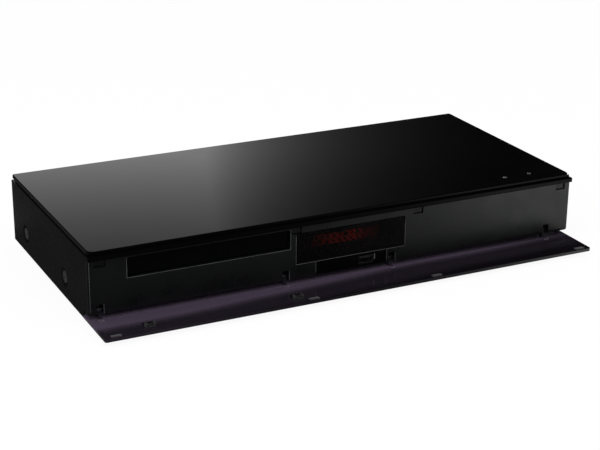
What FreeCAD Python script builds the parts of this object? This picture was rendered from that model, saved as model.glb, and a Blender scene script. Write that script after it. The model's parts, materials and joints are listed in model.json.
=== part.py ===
import FreeCAD, Part
import math
import os

import Sketcher

# A disc player with a full-width front flap that drops open, a loading tray and its drive inside.
# Millimetres. X runs left to right, Y front to back, Z up. The origin is on the surface that the
# player stands on, under the middle of its outline with the flap open. The left, seen from the front,
# is -X, and the player's front faces -Y.

doc = FreeCAD.newDocument("disc_player")
V = FreeCAD.Vector

# Sizes: name, value or the formula that ties it to others, what it is
SIZES = [
    # Whole player
    ("body_width", 430.0, "front panel, lip and flap, side to side"),
    ("body_depth", 199.0, "lip's front face to the top plate's back edge"),
    ("body_height", 62.0, "table to the top face"),
    ("foot_height", 3.9, "table to the underside of the chassis"),
    ("joint_gap", 0.3, "gap between pieces that move past each other"),
    ("bearing_gap", 0.05, "radial gap of a running fit"),
    ("press_gap", 0.02, "radial gap of a pin that is held"),
    # Top plate
    ("top_inset", 1.0, "top plate's sides in from the panel's ends"),
    ("top_width", "=body_width - 2 * top_inset", "top plate, side to side"),
    ("top_thick", 2.9, "height of the top plate's rim"),
    ("top_skin", 1.4, "thickness of the top plate inside its rim"),
    ("top_rim", 8.0, "width of the top plate's rim"),
    ("top_back", 2.5, "top plate's front edge behind the lip"),
    ("top_corner", 6.0, "plan radius of the top plate's front corners"),
    ("top_heel", 2.0, "plan radius of the top plate's back corners"),
    ("top_edge", 0.7, "rounding of the top plate's upper edge"),
    ("tab_back", "=body_depth - 56.5", "spacer tab in the side gap, behind the lip"),
    ("tab_width", 6.0, "spacer tab, front to back"),
    ("tab_thick", 1.2, "spacer tab, side to side"),
    # Lip over the flap
    ("lip_height", 4.0, "height of the lip"),
    ("lip_depth", 6.2, "lip, front to back"),
    ("lip_edge", 0.8, "rounding of the lip's front edges"),
    # Front panel
    ("face_back", 3.3, "front panel's face behind the lip's front"),
    ("face_wall", 3.0, "thickness of the front panel"),
    ("face_low", 10.2, "table to the front panel's lower edge"),
    ("face_side", 1.2, "rounding of the front panel's side edges"),
    ("face_foot", 2.95, "rounding of the front panel's lower edge"),
    ("return_depth", 10.0, "wall behind the front panel's rim, front to back"),
    ("return_wall", 1.5, "thickness of that wall"),
    # Tray opening
    ("slot_width", 135.5, "tray opening, side to side"),
    ("slot_side", 31.0, "panel's left end to the tray opening"),
    ("tray_mid", "=slot_side + slot_width / 2 - body_width / 2", "middle of the tray, from the player's middle"),
    ("slot_low", 36.7, "table to the tray opening's lower edge"),
    ("slot_high", 53.0, "table to the tray opening's upper edge"),
    ("slot_corner", 2.5, "corner radius of the tray opening"),
    ("slot_gap", 0.75, "gap beside the tray in its opening"),
    ("shroud_wall", 1.2, "wall round the tray opening, behind the panel"),
    ("shroud_depth", 3.4, "how far that wall runs back"),
    # Display window and the recess below it
    ("window_left", "=tray_mid + slot_width / 2 + 5", "display window's left edge"),
    ("window_right", "=window_left + 98", "display window's right edge"),
    ("window_low", 23.0, "table to the display window's lower edge"),
    ("window_high", 49.0, "table to the display window's upper edge"),
    ("window_corner", 1.5, "corner radius of the display window"),
    ("window_thick", 1.9, "thickness of the display window"),
    ("window_seat", 2.0, "width of the seat that the window lies on"),
    ("window_gap", 0.1, "gap round the window and behind it"),
    ("recess_left", "=window_left + 17.5", "socket recess's left edge"),
    ("recess_right", "=window_left + 81.3", "socket recess's right edge"),
    ("recess_deep", 1.4, "depth of the socket recess"),
    ("board_boss", 3.0, "radius of the bosses that carry the front board"),
    # Flap and its hinges
    ("flap_thick", 2.8, "thickness of the flap"),
    ("flap_tail", 7.1, "flap behind its hinge axis when open"),
    ("flap_rim", 3.2, "width of the raised rim on the flap's inner face"),
    ("flap_recess", 0.4, "depth of the flap's inner face inside its rim"),
    ("flap_edge", 0.6, "rounding of the flap's outer edges"),
    ("flap_corner", 2.0, "plan radius of the flap's free corners"),
    ("flap_gap", 0.3, "closed flap to the front panel"),
    ("hinge_back", 9.4, "hinge axis behind the lip's front"),
    ("hinge_slot", 5.6, "width of a hinge slot"),
    ("hinge_slot_high", 19.0, "table to the top of a hinge slot"),
    ("hinge_one", "=9 - body_width / 2", "first hinge, from the middle"),
    ("hinge_two", "=tray_mid + slot_width / 2 - 4", "second hinge"),
    ("hinge_three", "=window_left + 86.5", "third hinge"),
    ("hinge_four", "=body_width / 2 - 22", "fourth hinge"),
    ("ear_wall", 2.0, "thickness of a hinge ear"),
    ("pin_radius", 1.5, "radius of a hinge pin"),
    ("arm_width", 3.6, "hinge arm, side to side"),
    ("arm_front", 5.0, "hinge arm in front of the axis, open"),
    ("arm_behind", 3.4, "hinge arm behind the axis, open"),
    ("barrel_radius", 3.0, "radius of the arm's barrel"),
    # Stops and pads on the flap
    ("stop_back", 3.4, "stops behind the flap's free edge, to their middle"),
    ("stop_width", 8.0, "stop, side to side"),
    ("stop_depth", 4.0, "stop, along the flap"),
    ("stop_height", 0.9, "stop, proud of the flap's rim"),
    ("stop_one", "=9.7 - body_width / 2", "first stop"),
    ("stop_two", "=window_left", "second stop"),
    ("stop_three", "=window_right + 12", "third stop"),
    ("stop_four", "=body_width / 2 - 9.7", "fourth stop"),
    ("landing_deep", 1.5, "depth of the pocket that a stop lands in"),
    ("landing_rib", 0.3, "height of the ribs in that pocket"),
    ("pad_one", "=tray_mid - slot_width / 2 + 8", "first flap pad"),
    ("pad_two", "=tray_mid + slot_width / 2 - 5.3", "second flap pad"),
    ("pad_width", 8.4, "flap pad, side to side"),
    ("pad_near", 24.0, "flap pad's near end, from the hinge axis"),
    ("pad_far", 29.4, "flap pad's far end, from the hinge axis"),
    ("pad_height", 1.6, "flap pad, proud of the flap's rim"),
    ("pusher_far", 34.4, "pusher's far end, from the hinge axis"),
    ("pusher_height", 2.2, "pusher, proud of the inner face"),
    # Sheet metal case
    ("cover_inset", 0.4, "cover's sides in from the panel's ends"),
    ("cover_width", "=body_width - 2 * cover_inset", "case cover, side to side"),
    ("cover_sheet", 0.8, "sheet of the cover, chassis and rear panel"),
    ("shoulder", 2.4, "step in the cover's sides under the top plate"),
    ("side_gap", 2.0, "height of the gap under the top plate's sides"),
    ("corner_notch", 16.9, "cover's lower front corners are cut to here"),
    ("dimple_radius", 8.0, "radius of a screw dimple"),
    ("dimple_floor", 6.4, "radius of a dimple's floor"),
    ("dimple_deep", 1.4, "depth of a dimple"),
    ("dimple_height", 20.5, "table to the middle of a dimple"),
    ("dimple_front", 62.0, "front dimples behind the lip"),
    ("dimple_rear", "=body_depth - 35.5", "rear dimples behind the lip"),
    ("screw_head", 4.9, "radius of a side screw's head"),
    ("screw_rise", 1.7, "height of a side screw's head"),
    ("screw_shank", 1.8, "radius of a side screw"),
    ("screw_reach", 5.0, "length of a side screw's shank"),
    ("flange_high", 30.0, "table to the top of the chassis's side flanges"),
    ("post_high", 12.0, "table to the top of the chassis's posts"),
    ("post_radius", 3.5, "radius of a post"),
    ("foot_radius", 10.0, "radius of a foot"),
    ("foot_side", "=body_width / 2 - 50", "feet, either side of the middle"),
    ("foot_front", 34.0, "front feet behind the lip"),
    ("foot_rear", "=body_depth - 23", "rear feet behind the lip"),
    ("foot_edge", 0.8, "bevel of a foot's lower edge"),
    ("vent_pitch", 7.0, "spacing of the vent slots"),
    ("vent_width", 3.0, "width of a vent slot"),
    ("vent_length", 46.0, "length of a vent slot under the power board"),
    # Rear panel and its sockets
    ("rear_back", "=body_depth - 3", "rear panel's outer face behind the lip"),
    ("rear_lip", 8.0, "height of the cover's lip over the rear panel"),
    ("rear_screw_head", 2.9, "radius of a rear screw's head"),
    ("rear_screw_rise", 1.6, "height of a rear screw's head"),
    ("rear_screw_shank", 1.4, "radius of a rear screw"),
    ("rear_screw_reach", 4.0, "length of a rear screw's shank"),
    ("rear_screw_out", 20.0, "outer rear screws beyond the feet"),
    ("cutout_gap", 1.0, "gap round a socket in the rear panel"),
    # Circuit boards beside the drive
    ("drive_width", "=slot_width + 16.5", "drive frame, side to side"),
    ("board_gap", 1.0, "front board beside the drive"),
    ("front_board_width", "=body_width - drive_width - 77", "front board, side to side"),
    ("display_width", 83.0, "display module, side to side"),
    ("board_thick", 1.6, "thickness of a circuit board"),
    ("power_right", "=body_width / 2 - 10", "power board's right edge"),
    ("power_left", "=power_right - 93", "power board's left edge"),
    ("power_rear", "=rear_back - 3", "power board's rear edge"),
    ("power_front", "=power_rear - 133", "power board's front edge behind the lip"),
    ("main_left", "=tray_mid + drive_width / 2 + 10.25", "main board's left edge"),
    ("main_right", "=power_left - 12", "main board's right edge"),
    ("main_rear", "=rear_back - 4", "main board's rear edge"),
    ("main_front", "=main_rear - 96", "main board's front edge behind the lip"),
    ("post_inset", 6.0, "posts in from the edges of their board"),
    ("touch_outer", 7.0, "touch board in from the last stop"),
    ("touch_width", 54.0, "touch board, side to side"),
    ("touch_depth", 14.0, "touch board, front to back"),
    ("touch_thick", 0.96, "thickness of the touch board"),
    ("face_board_back", 9.1, "front board's front face behind the panel's face"),
    ("receiver_width", 5.0, "remote receiver, side to side"),
    ("receiver_dome", 2.0, "radius of its dome"),
    # Parts on the boards
    ("chip_mid", "=(main_left + main_right) / 2 - 5", "middle of the main chip"),
    ("chip_back", "=main_front + 39", "main chip's middle behind the lip"),
    ("chip_size", 32.0, "main chip, across"),
    ("chip_thick", 2.4, "thickness of the main chip"),
    ("memory_thick", 1.2, "thickness of the smaller chips"),
    ("sink_size", 42.0, "heatsink, across"),
    ("sink_base", 2.5, "thickness of the heatsink's base"),
    ("sink_height", 16.0, "height of the heatsink"),
    ("sink_fin", 2.0, "thickness of a heatsink's fin"),
    ("core_side", 42.0, "transformer's middle from the power board's left edge"),
    ("core_back", 62.0, "transformer's middle behind the board's front edge"),
    ("core_width", 33.0, "transformer's core, side to side"),
    ("core_depth", 28.0, "transformer's core, front to back"),
    ("core_limb", 5.0, "thickness of the core's limbs"),
    ("core_high", 22.0, "height of the core"),
    ("bobbin_foot", 3.0, "height of the bobbin's foot"),
    ("coil_radius", 6.9, "radius of the coil in the core"),
    ("choke_side", 22.0, "choke's middle from the power board's right edge"),
    ("choke_back", 90.0, "choke's middle behind the board's front edge"),
    ("choke_outer", 11.3, "outer radius of the choke's ring"),
    ("choke_inner", 3.7, "inner radius of the choke's ring"),
    ("choke_height", 7.6, "height of the choke's ring"),
    ("choke_foot", 1.5, "height of the choke's foot"),
    ("coax_depth", 9.0, "digital sound socket, front to back"),
    # Flat cables
    ("ribbon_thick", 0.4, "thickness of a flat cable"),
    ("ribbon_bend", 3.0, "bend radius of a flat cable"),
    ("front_ribbon", 16.0, "width of the front board's cable"),
    ("touch_ribbon", 10.0, "width of the touch board's cable"),
    ("drive_ribbon", 22.0, "width of the drive's cable"),
    ("power_ribbon", 18.0, "width of the power cable"),
    ("power_ribbon_thick", 1.6, "thickness of the power cable"),
    ("cable_rise", 8.0, "flat cables' ends from the edge that they bend round"),
    ("front_cable_side", 30.0, "front board's cable in from the main board's right edge"),
    ("touch_cable_end", 5.0, "touch board's cable in from the edges of its boards"),
    ("power_cable_back", 24.0, "power cable behind the main board's front edge"),
    ("power_cable_side", 7.0, "power cable's ends in from their boards' edges"),
    ("power_cable_rise", 12.0, "height of the power cable's arch"),
    ("drive_cable_back", 30.0, "drive's cable behind the main board's front edge"),
    ("drive_cable_side", 12.0, "drive's cable in from the main board's left edge"),
    ("drive_cable_under", 26.0, "drive's cable in from the drive's edge"),
    # Fan
    ("fan_mid", "=power_left + 20", "middle of the fan"),
    ("fan_size", "=body_height - 22", "fan frame, across"),
    ("fan_depth", 10.0, "fan frame, front to back"),
    ("fan_low", 14.0, "table to the fan frame's underside"),
    ("fan_bore", "=fan_size / 2 - 1", "radius of the fan frame's bore"),
    ("fan_tip", "=fan_bore - 0.5", "radius of the fan's blade tips"),
    ("fan_hub", 9.0, "radius of the fan's hub"),
    ("fan_shaft", 1.0, "radius of the fan's shaft"),
    # Drive frame
    ("drive_front", 12.8, "drive frame's front behind the lip"),
    ("drive_rear", "=rear_back - 12", "drive frame's rear behind the lip"),
    ("drive_low", 15.0, "table to the drive frame's underside"),
    ("drive_floor", 2.0, "thickness of the drive frame's floor"),
    ("drive_wall", 2.2, "thickness of the drive frame's walls"),
    ("drive_high", 53.0, "table to the top of the drive frame's sides"),
    ("drive_rim", 29.4, "table to the top of its front and rear walls, under the wheel"),
    ("grommet_inset", 6.0, "drive's mounts in from its sides"),
    ("grommet_hole", 2.4, "radius of a grommet's hole"),
    # Tray
    ("tray_front_back", 6.2, "tray front's face behind the lip"),
    ("tray_front_wall", 3.0, "thickness of the tray front"),
    ("tray_front_low", 37.3, "table to the tray front's lower edge"),
    ("tray_front_high", 52.3, "table to the tray front's upper edge"),
    ("tray_rear", "=drive_rear - 9", "tray's rear edge behind the lip"),
    ("tray_travel", 140.0, "how far the tray slides out"),
    ("tray_top", 47.0, "table to the tray's top face"),
    ("tray_wall", 2.0, "thickness of the tray's walls"),
    ("runner_low", 38.0, "table to the underside of the tray's runners"),
    ("runner_wall", 2.5, "thickness of a runner"),
    ("disc_back", 78.0, "disc's middle behind the lip"),
    ("disc_well", 60.6, "radius of the large disc's well"),
    ("small_well", 40.6, "radius of the small disc's well"),
    ("well_floor", 43.0, "table to the large disc's seat"),
    ("small_deep", 0.8, "small disc's seat below the large one's"),
    ("well_under", 41.0, "table to the underside of the wells"),
    ("hub_opening", 21.0, "radius of the tray's middle opening"),
    ("lens_opening", 20.0, "half width of the tray's opening for the pickup"),
    ("lens_opening_rear", 142.0, "that opening's rear end behind the lip"),
    # Loading gears, rack and belt
    ("gear_module", 1.0, "pitch of a gear's teeth over pi"),
    ("tooth_thin", 0.11, "how much a tooth is thinned at its pitch line"),
    ("gear_back", 28.0, "gear axes behind the lip"),
    ("rack_side", "=slot_width / 2 - 19.75", "rack's pitch line from the tray's middle"),
    ("rack_wall", 2.6, "thickness of the rack's bar"),
    ("pinion_teeth", 20.0, "teeth of the pinion in the rack"),
    ("wheel_teeth", 28.0, "teeth of the wheel under that pinion"),
    ("drive_teeth", 14.0, "teeth of the pulley's pinion"),
    ("wheel_low", 30.0, "table to the underside of the wheel"),
    ("wheel_thick", 3.0, "thickness of the wheel"),
    ("gear_post", 2.0, "radius of a gear's post"),
    ("post_shoulder", 4.0, "radius of the post's shoulder"),
    ("belt_low", 26.0, "table to the belt's underside"),
    ("belt_thick", 1.6, "belt's section"),
    ("pulley_flange", 1.0, "belt to the outside of a pulley's flange"),
    ("pulley_groove", 9.6, "radius of the large pulley's groove"),
    ("pulley_rim", 11.4, "radius of the large pulley's rim"),
    ("small_groove", 2.4, "radius of the motor pulley's groove"),
    ("small_rim", 4.2, "radius of the motor pulley's rim"),
    ("motor_side", -20.0, "loading motor from the tray's middle"),
    ("motor_radius", 9.8, "radius of the loading motor"),
    ("motor_low", 6.7, "table to the loading motor's underside"),
    ("motor_high", 22.7, "table to the loading motor's top"),
    ("motor_shaft", 1.0, "radius of the loading motor's shaft"),
    ("motor_bush", 5.0, "depth of the loading motor's bush"),
    # Disc clamp and its bridge
    ("bridge_front", 42.0, "clamp bridge's front edge behind the lip"),
    ("bridge_rear", 114.0, "clamp bridge's rear edge behind the lip"),
    ("bridge_fold", 2.4, "depth of the bridge's folded edges"),
    ("clamp_hole", 13.0, "radius of the hole that the clamp hangs in"),
    ("clamp_disc", 15.0, "radius of the clamp below the bridge"),
    ("clamp_low", 48.2, "table to the clamp's underside"),
    ("clamp_neck", 12.0, "radius of the clamp's neck"),
    ("clamp_flange", 14.6, "radius of the clamp's flange"),
    # Traverse, lowered at rest and level when a disc plays
    ("lowered", 4.6, "degrees that the traverse is lowered at rest"),
    ("traverse_rear", "=drive_rear - 11", "traverse's rear behind the lip"),
    ("pivot_back", "=traverse_rear - 3", "traverse's pivot behind the lip"),
    ("pivot_high", 29.5, "table to the traverse's pivot"),
    ("pivot_radius", 2.0, "radius of a pivot stub"),
    ("traverse_half", 47.0, "traverse's half width"),
    ("traverse_front", 50.0, "traverse's front behind the lip"),
    ("traverse_low", 28.5, "table to the traverse plate's underside, level"),
    ("traverse_plate", 2.0, "thickness of the traverse plate"),
    ("traverse_rim", 5.0, "height of the traverse's rim above its plate"),
    ("rod_side", 30.0, "guide rods, either side of the disc's middle"),
    ("rod_high", 36.0, "table to the guide rods, level"),
    ("rod_radius", 1.5, "radius of a guide rod and of the screw"),
    ("rod_front", 88.0, "guide rods' front ends behind the lip"),
    ("rod_rear", "=traverse_rear - 12", "guide rods' rear ends behind the lip"),
    ("screw_side", -39.0, "sled screw from the disc's middle"),
    ("sled_motor_radius", 4.8, "radius of the sled motor"),
    ("sled_motor_long", 13.0, "length of the sled motor"),
    ("sled_front", 94.0, "sled's front behind the lip, at the disc's middle"),
    ("sled_rear", 120.0, "sled's rear behind the lip"),
    ("sled_low", 33.0, "table to the sled's underside, level"),
    ("sled_high", 40.2, "table to the sled's top, level"),
    ("lens_back", 102.0, "lens behind the lip, at the disc's middle"),
    ("lens_radius", 3.2, "radius of the lens"),
    ("lens_high", 43.2, "table to the lens's top, level"),
    ("spindle_can", 14.0, "radius of the spindle motor"),
    ("spindle_high", 37.0, "table to the spindle motor's top, level"),
    ("spindle_shaft", 1.0, "radius of the spindle"),
    ("table_radius", 13.0, "radius of the turntable"),
    ("table_seat", 46.8, "table to the turntable's disc seat, level"),
    ("cone_radius", 7.4, "radius of the turntable's cone at its foot"),
    ("cone_rise", 2.0, "height of the turntable's cone"),
    # Cam slider
    ("slider_front", 44.0, "cam slider's front behind the lip"),
    ("slider_wall", 2.4, "thickness of the cam slider"),
    ("slider_high", 36.4, "table to the cam slider's top"),
    ("slider_travel", 20.0, "cam slider's travel"),
    ("cam_side", 20.0, "cam pins, either side of the disc's middle"),
    ("cam_high", 33.0, "table to the cam pins, level"),
    ("cam_pin", 1.5, "radius of a cam pin"),
    ("cam_gap", 0.3, "gap between a cam pin and its slot"),
    # Sockets
    ("usb_mid", "=window_left + 63.5", "front socket's middle"),
    ("usb_width", 13.1, "front socket, side to side"),
    ("usb_high", 5.7, "front socket, top to bottom"),
    ("usb_depth", 14.0, "front socket, front to back"),
    ("usb_wall", 0.3, "front socket's sheet"),
    ("hdmi_one", "=main_left + (main_right - main_left) * 22 / 130", "first digital picture socket"),
    ("hdmi_two", "=main_left + (main_right - main_left) * 46 / 130", "second digital picture socket"),
    ("hdmi_width", 15.0, "its width"),
    ("hdmi_high", 5.9, "its height"),
    ("hdmi_depth", 11.5, "its depth"),
    ("hdmi_wall", 0.5, "its sheet"),
    ("lan_mid", "=main_left + (main_right - main_left) * 72 / 130", "network socket"),
    ("lan_width", 16.0, "its width"),
    ("lan_high", 13.4, "its height"),
    ("lan_depth", 16.0, "its depth"),
    ("lan_wall", 2.0, "its wall"),
    ("coax_mid", "=main_left + (main_right - main_left) * 98 / 130", "digital sound socket"),
    ("coax_high", 12.0, "its axis above the main board"),
    ("coax_body", 6.5, "half width of its body"),
    ("coax_ring", 4.15, "radius of its ring"),
    ("coax_bore", 1.7, "radius of its bore"),
    ("coax_out", 1.4, "how far its ring stands out past the other sockets"),
    ("coax_bore_front", 5.0, "from the rear panel's inside to the bore's bottom"),
    ("coax_bore_long", 12.0, "length of its bore"),
    ("inlet_mid", "=power_right - 23", "mains inlet"),
    ("inlet_width", 24.0, "its width"),
    ("inlet_high", 17.0, "its height"),
    ("inlet_depth", 20.0, "its depth"),
    ("inlet_hollow_width", 17.4, "its hollow, side to side"),
    ("inlet_hollow_high", 9.2, "its hollow, top to bottom"),
    ("inlet_hollow_deep", 11.0, "depth of its hollow"),
    ("inlet_pin", 1.2, "radius of its pins"),
    ("inlet_pin_inside", 2.0, "from the ends of its pins to its mouth"),
    ("inlet_pin_side", 4.3, "its pins, either side of its middle"),
    ("socket_proud", 0.9, "how far the sockets stand out of the rear panel"),
]


class Size:
    """A length or an angle: its number now, and the sheet formula that gives it."""

    def __init__(self, number, formula):
        self.number = float(number)
        self.formula = formula

    def __add__(self, other):
        other = as_size(other)
        return Size(self.number + other.number, f"({self.formula} + {other.formula})")

    def __sub__(self, other):
        other = as_size(other)
        return Size(self.number - other.number, f"({self.formula} - {other.formula})")

    def __mul__(self, other):
        other = as_size(other)
        return Size(self.number * other.number, f"({self.formula} * {other.formula})")

    def __truediv__(self, other):
        other = as_size(other)
        return Size(self.number / other.number, f"({self.formula} / {other.formula})")

    def __radd__(self, other):
        return as_size(other) + self

    def __rsub__(self, other):
        return as_size(other) - self

    def __rmul__(self, other):
        return as_size(other) * self

    def __neg__(self):
        return Size(-self.number, f"(0 - {self.formula})")

    def __float__(self):
        return self.number


def as_size(thing):
    return thing if isinstance(thing, Size) else Size(thing, repr(float(thing)))


def sine(angle):
    return Size(math.sin(math.radians(angle.number)), f"sin({angle.formula})")


def cosine(angle):
    return Size(math.cos(math.radians(angle.number)), f"cos({angle.formula})")


class Sheet:
    """The sheet of sizes, driving or worked out in the sheet, each one read back as a Size."""

    def __init__(self, rows):
        sheet = doc.addObject("Spreadsheet::Sheet", "Sizes")
        for row, (name, value, note) in enumerate(rows, 1):
            sheet.set(f"A{row}", name)
            sheet.set(f"B{row}", str(value))
            sheet.set(f"C{row}", note)
            sheet.setAlias(f"B{row}", name)
        doc.recompute()
        for row, (name, value, note) in enumerate(rows, 1):
            setattr(self, name, Size(sheet.get(f"B{row}"), "Sizes." + name))


s = Sheet(SIZES)


# Places worked out from the driving sizes

def back(distance):
    """A place in Y, measured back from the lip's front face."""
    return front + distance


def span(middle, width):
    return (middle - width / 2, middle + width / 2)


def both(distance):
    return (-as_size(distance), as_size(distance))


half = s.body_width / 2
lip_top = s.body_height - s.top_thick
face_top = lip_top - s.lip_height
flap_under = s.foot_height
flap_top = flap_under + s.flap_thick
hinge_drop = s.hinge_back - s.face_back + s.flap_gap
hinge_high = flap_top + hinge_drop
flap_span = face_top - s.flap_gap - hinge_high
reach = flap_span - s.hinge_back
stop_reach = flap_span - s.stop_back
front = (reach - s.body_depth) / 2
hinge_y = back(s.hinge_back)
stop_y = span(hinge_y - stop_reach, s.stop_depth)
face_y = back(s.face_back)
face_rear = face_y + s.face_wall
hinges = (s.hinge_one, s.hinge_two, s.hinge_three, s.hinge_four)
stops = (s.stop_one, s.stop_two, s.stop_three, s.stop_four)

cover_half = s.cover_width / 2
shoulder_half = cover_half - s.shoulder
cover_front = face_rear
cover_under = lip_top - s.cover_sheet
flange_half = cover_half - s.cover_sheet - s.dimple_deep
floor_top = s.foot_height + s.cover_sheet
chassis_front = back(s.corner_notch)
rear_outer = back(s.rear_back)
rear_inner = rear_outer - s.cover_sheet
board_top = s.post_high + s.board_thick

drive_half = s.drive_width / 2
drive_inner = drive_half - s.drive_wall
drive_edge = s.tray_mid + drive_half
drive_deck = s.drive_low + s.drive_floor
tray_half = s.slot_width / 2 - s.slot_gap
tray_start = back(s.tray_front_back + s.tray_front_wall)
disc_y = back(s.disc_back)
gear_y = back(s.gear_back)
pitch_pinion = s.pinion_teeth * s.gear_module / 2
pitch_wheel = s.wheel_teeth * s.gear_module / 2
pitch_drive = s.drive_teeth * s.gear_module / 2
pinion_x = s.tray_mid + s.rack_side - pitch_pinion
pulley_x = pinion_x - pitch_wheel - pitch_drive
motor_x = s.tray_mid + s.motor_side
plate_top = s.traverse_low + s.traverse_plate
screw_x = s.tray_mid + s.screw_side
screw_ends = ((back(s.rod_front) - s.traverse_plate, back(s.rod_front)),
              (back(s.rod_rear) - s.traverse_plate, back(s.rod_rear)))

parts = []
flipped = {}


# Ways to make shapes

def bind(thing, place, size):
    """Ties one value of a document object to the sheet."""
    thing.setExpression(place, as_size(size).formula)


def move(thing, x, y, z):
    for axis, size in zip("xyz", (x, y, z)):
        bind(thing, "Placement.Base." + axis, size)


def block(name, x, y, z):
    """A block between two places along each axis."""
    made = doc.addObject("Part::Box", name)
    for side, (low, high) in zip(("Length", "Width", "Height"), (x, y, z)):
        bind(made, side, high - low)
    move(made, x[0], y[0], z[0])
    return made


TURNS = {
    "X": FreeCAD.Rotation(V(0, 1, 0), 90),
    "Y": FreeCAD.Rotation(V(1, 0, 0), -90),
    "Z": FreeCAD.Rotation(),
}


def rod(name, axis, foot, radius, length):
    """A cylinder that runs from its foot along an axis."""
    made = doc.addObject("Part::Cylinder", name)
    bind(made, "Radius", radius)
    bind(made, "Height", length)
    made.Placement = FreeCAD.Placement(V(), TURNS[axis])
    move(made, *foot)
    return made


def cone(name, axis, foot, radius, end_radius, length):
    made = doc.addObject("Part::Cone", name)
    bind(made, "Radius1", radius)
    bind(made, "Radius2", end_radius)
    bind(made, "Height", length)
    made.Placement = FreeCAD.Placement(V(), TURNS[axis])
    move(made, *foot)
    return made


def fuse(name, *pieces):
    made = doc.addObject("Part::MultiFuse", name)
    made.Shapes = list(pieces)
    return made


def group(name, *pieces):
    """Separate solids that share one sub-part."""
    made = doc.addObject("Part::Compound", name)
    made.Links = list(pieces)
    return made


def cut(name, base, *tools):
    made = doc.addObject("Part::Cut", name)
    made.Base = base
    made.Tool = tools[0] if len(tools) == 1 else group(name + "_cutters", *tools)
    return made


def solid_of(name, shape):
    """A sub-part whose shape comes from a formula."""
    made = doc.addObject("Part::Feature", name)
    made.Shape = shape
    return made


def part(label, made):
    """Names a finished sub-part, which is written to a file of that name."""
    made.Label = label
    parts.append(made)
    return made


def new_body(label):
    return doc.addObject("PartDesign::Body", label)


def sketch(body, plane, level=0):
    """An empty sketch on one of the body's own planes, moved out to a level along its axis."""
    outline = body.newObject("Sketcher::SketchObject", body.Name + "_sketch")
    planes = [f for f in body.Origin.OriginFeatures if f.Role == plane + "_Plane"]
    outline.AttachmentSupport = [(planes[0], "")]
    outline.MapMode = "FlatFace"
    flipped[outline.Name] = plane == "XZ"
    level = as_size(level)
    bind(outline, "AttachmentOffset.Base.z", -level if plane == "XZ" else level)
    return outline


def hold(outline, kind, geometry, point, size):
    """Holds a point of a sketch at a distance from the sketch's origin."""
    new = Sketcher.Constraint(kind, -1, 1, geometry, point, float(size))
    index = outline.addConstraint(new)
    bind(outline, f"Constraints[{index}]", size)


def polygon(outline, points):
    """A closed run of straight lines whose corners the sheet holds."""
    points = [(as_size(a), as_size(b)) for a, b in points]
    first = outline.GeometryCount
    count = len(points)
    for index, (a, b) in enumerate(points):
        c, d = points[(index + 1) % count]
        line = Part.LineSegment(V(float(a), float(b), 0), V(float(c), float(d), 0))
        outline.addGeometry(line, False)
    for index in range(count):
        following = first + (index + 1) % count
        outline.addConstraint(Sketcher.Constraint("Coincident", first + index, 2, following, 1))
    for index, (a, b) in enumerate(points):
        hold(outline, "DistanceX", first + index, 1, a)
        hold(outline, "DistanceY", first + index, 1, b)


def rectangle(outline, across, up):
    (a0, a1), (b0, b1) = across, up
    polygon(outline, [(a0, b0), (a1, b0), (a1, b1), (a0, b1)])


def hexagon(outline, across, up, radius):
    """A hexagon that just fits in a circle."""
    lean = radius * math.sqrt(0.75)
    side = radius / 2
    polygon(outline, [(across + radius, up), (across + side, up + lean), (across - side, up + lean),
                      (across - radius, up), (across - side, up - lean), (across + side, up - lean)])


def round_rectangle(outline, across, up, radius):
    """A rectangle with round corners, held by its four sides and one radius."""
    (a0, a1), (b0, b1) = [[float(x) for x in pair] for pair in (across, up)]
    r = float(radius)
    first = outline.GeometryCount
    ends = [((a0 + r, b0), (a1 - r, b0)), ((a1, b0 + r), (a1, b1 - r)),
            ((a1 - r, b1), (a0 + r, b1)), ((a0, b1 - r), (a0, b0 + r))]
    middles = [(a1 - r, b0 + r), (a1 - r, b1 - r), (a0 + r, b1 - r), (a0 + r, b0 + r)]
    for side in range(4):
        start, end = ends[side]
        outline.addGeometry(Part.LineSegment(V(*start, 0), V(*end, 0)), False)
        circle = Part.Circle(V(*middles[side], 0), V(0, 0, 1), r)
        turn = math.pi / 2
        outline.addGeometry(Part.ArcOfCircle(circle, turn * (side - 1), turn * side), False)
    for side in range(4):
        line = first + 2 * side
        arc = line + 1
        following = first + (2 * side + 2) % 8
        outline.addConstraint(Sketcher.Constraint("Tangent", line, 2, arc, 1))
        outline.addConstraint(Sketcher.Constraint("Tangent", arc, 2, following, 1))
        outline.addConstraint(Sketcher.Constraint("Vertical" if side % 2 else "Horizontal", line))
        if side:
            outline.addConstraint(Sketcher.Constraint("Equal", first + 1, arc))
    index = outline.addConstraint(Sketcher.Constraint("Radius", first + 1, r))
    bind(outline, f"Constraints[{index}]", radius)
    hold(outline, "DistanceY", first, 1, up[0])
    hold(outline, "DistanceX", first + 2, 1, across[1])
    hold(outline, "DistanceY", first + 4, 1, up[1])
    hold(outline, "DistanceX", first + 6, 1, across[0])


def circle(outline, across, up, radius):
    middle = V(float(across), float(up), 0)
    index = outline.addGeometry(Part.Circle(middle, V(0, 0, 1), float(radius)), False)
    hold(outline, "DistanceX", index, 3, across)
    hold(outline, "DistanceY", index, 3, up)
    size = outline.addConstraint(Sketcher.Constraint("Radius", index, float(radius)))
    bind(outline, f"Constraints[{size}]", radius)


def pad(body, outline, length, backwards=False):
    """Adds material from the sketch towards +X, +Y or +Z, or the other way."""
    made = body.newObject("PartDesign::Pad", body.Name + "_pad")
    made.Profile = outline
    bind(made, "Length", length)
    made.Reversed = flipped[outline.Name] != backwards
    return made


def pocket(body, outline, length, backwards=False):
    """Cuts from the sketch towards +X, +Y or +Z, or the other way."""
    made = body.newObject("PartDesign::Pocket", body.Name + "_pocket")
    made.Profile = outline
    bind(made, "Length", length)
    made.Reversed = flipped[outline.Name] == backwards
    return made


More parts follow.
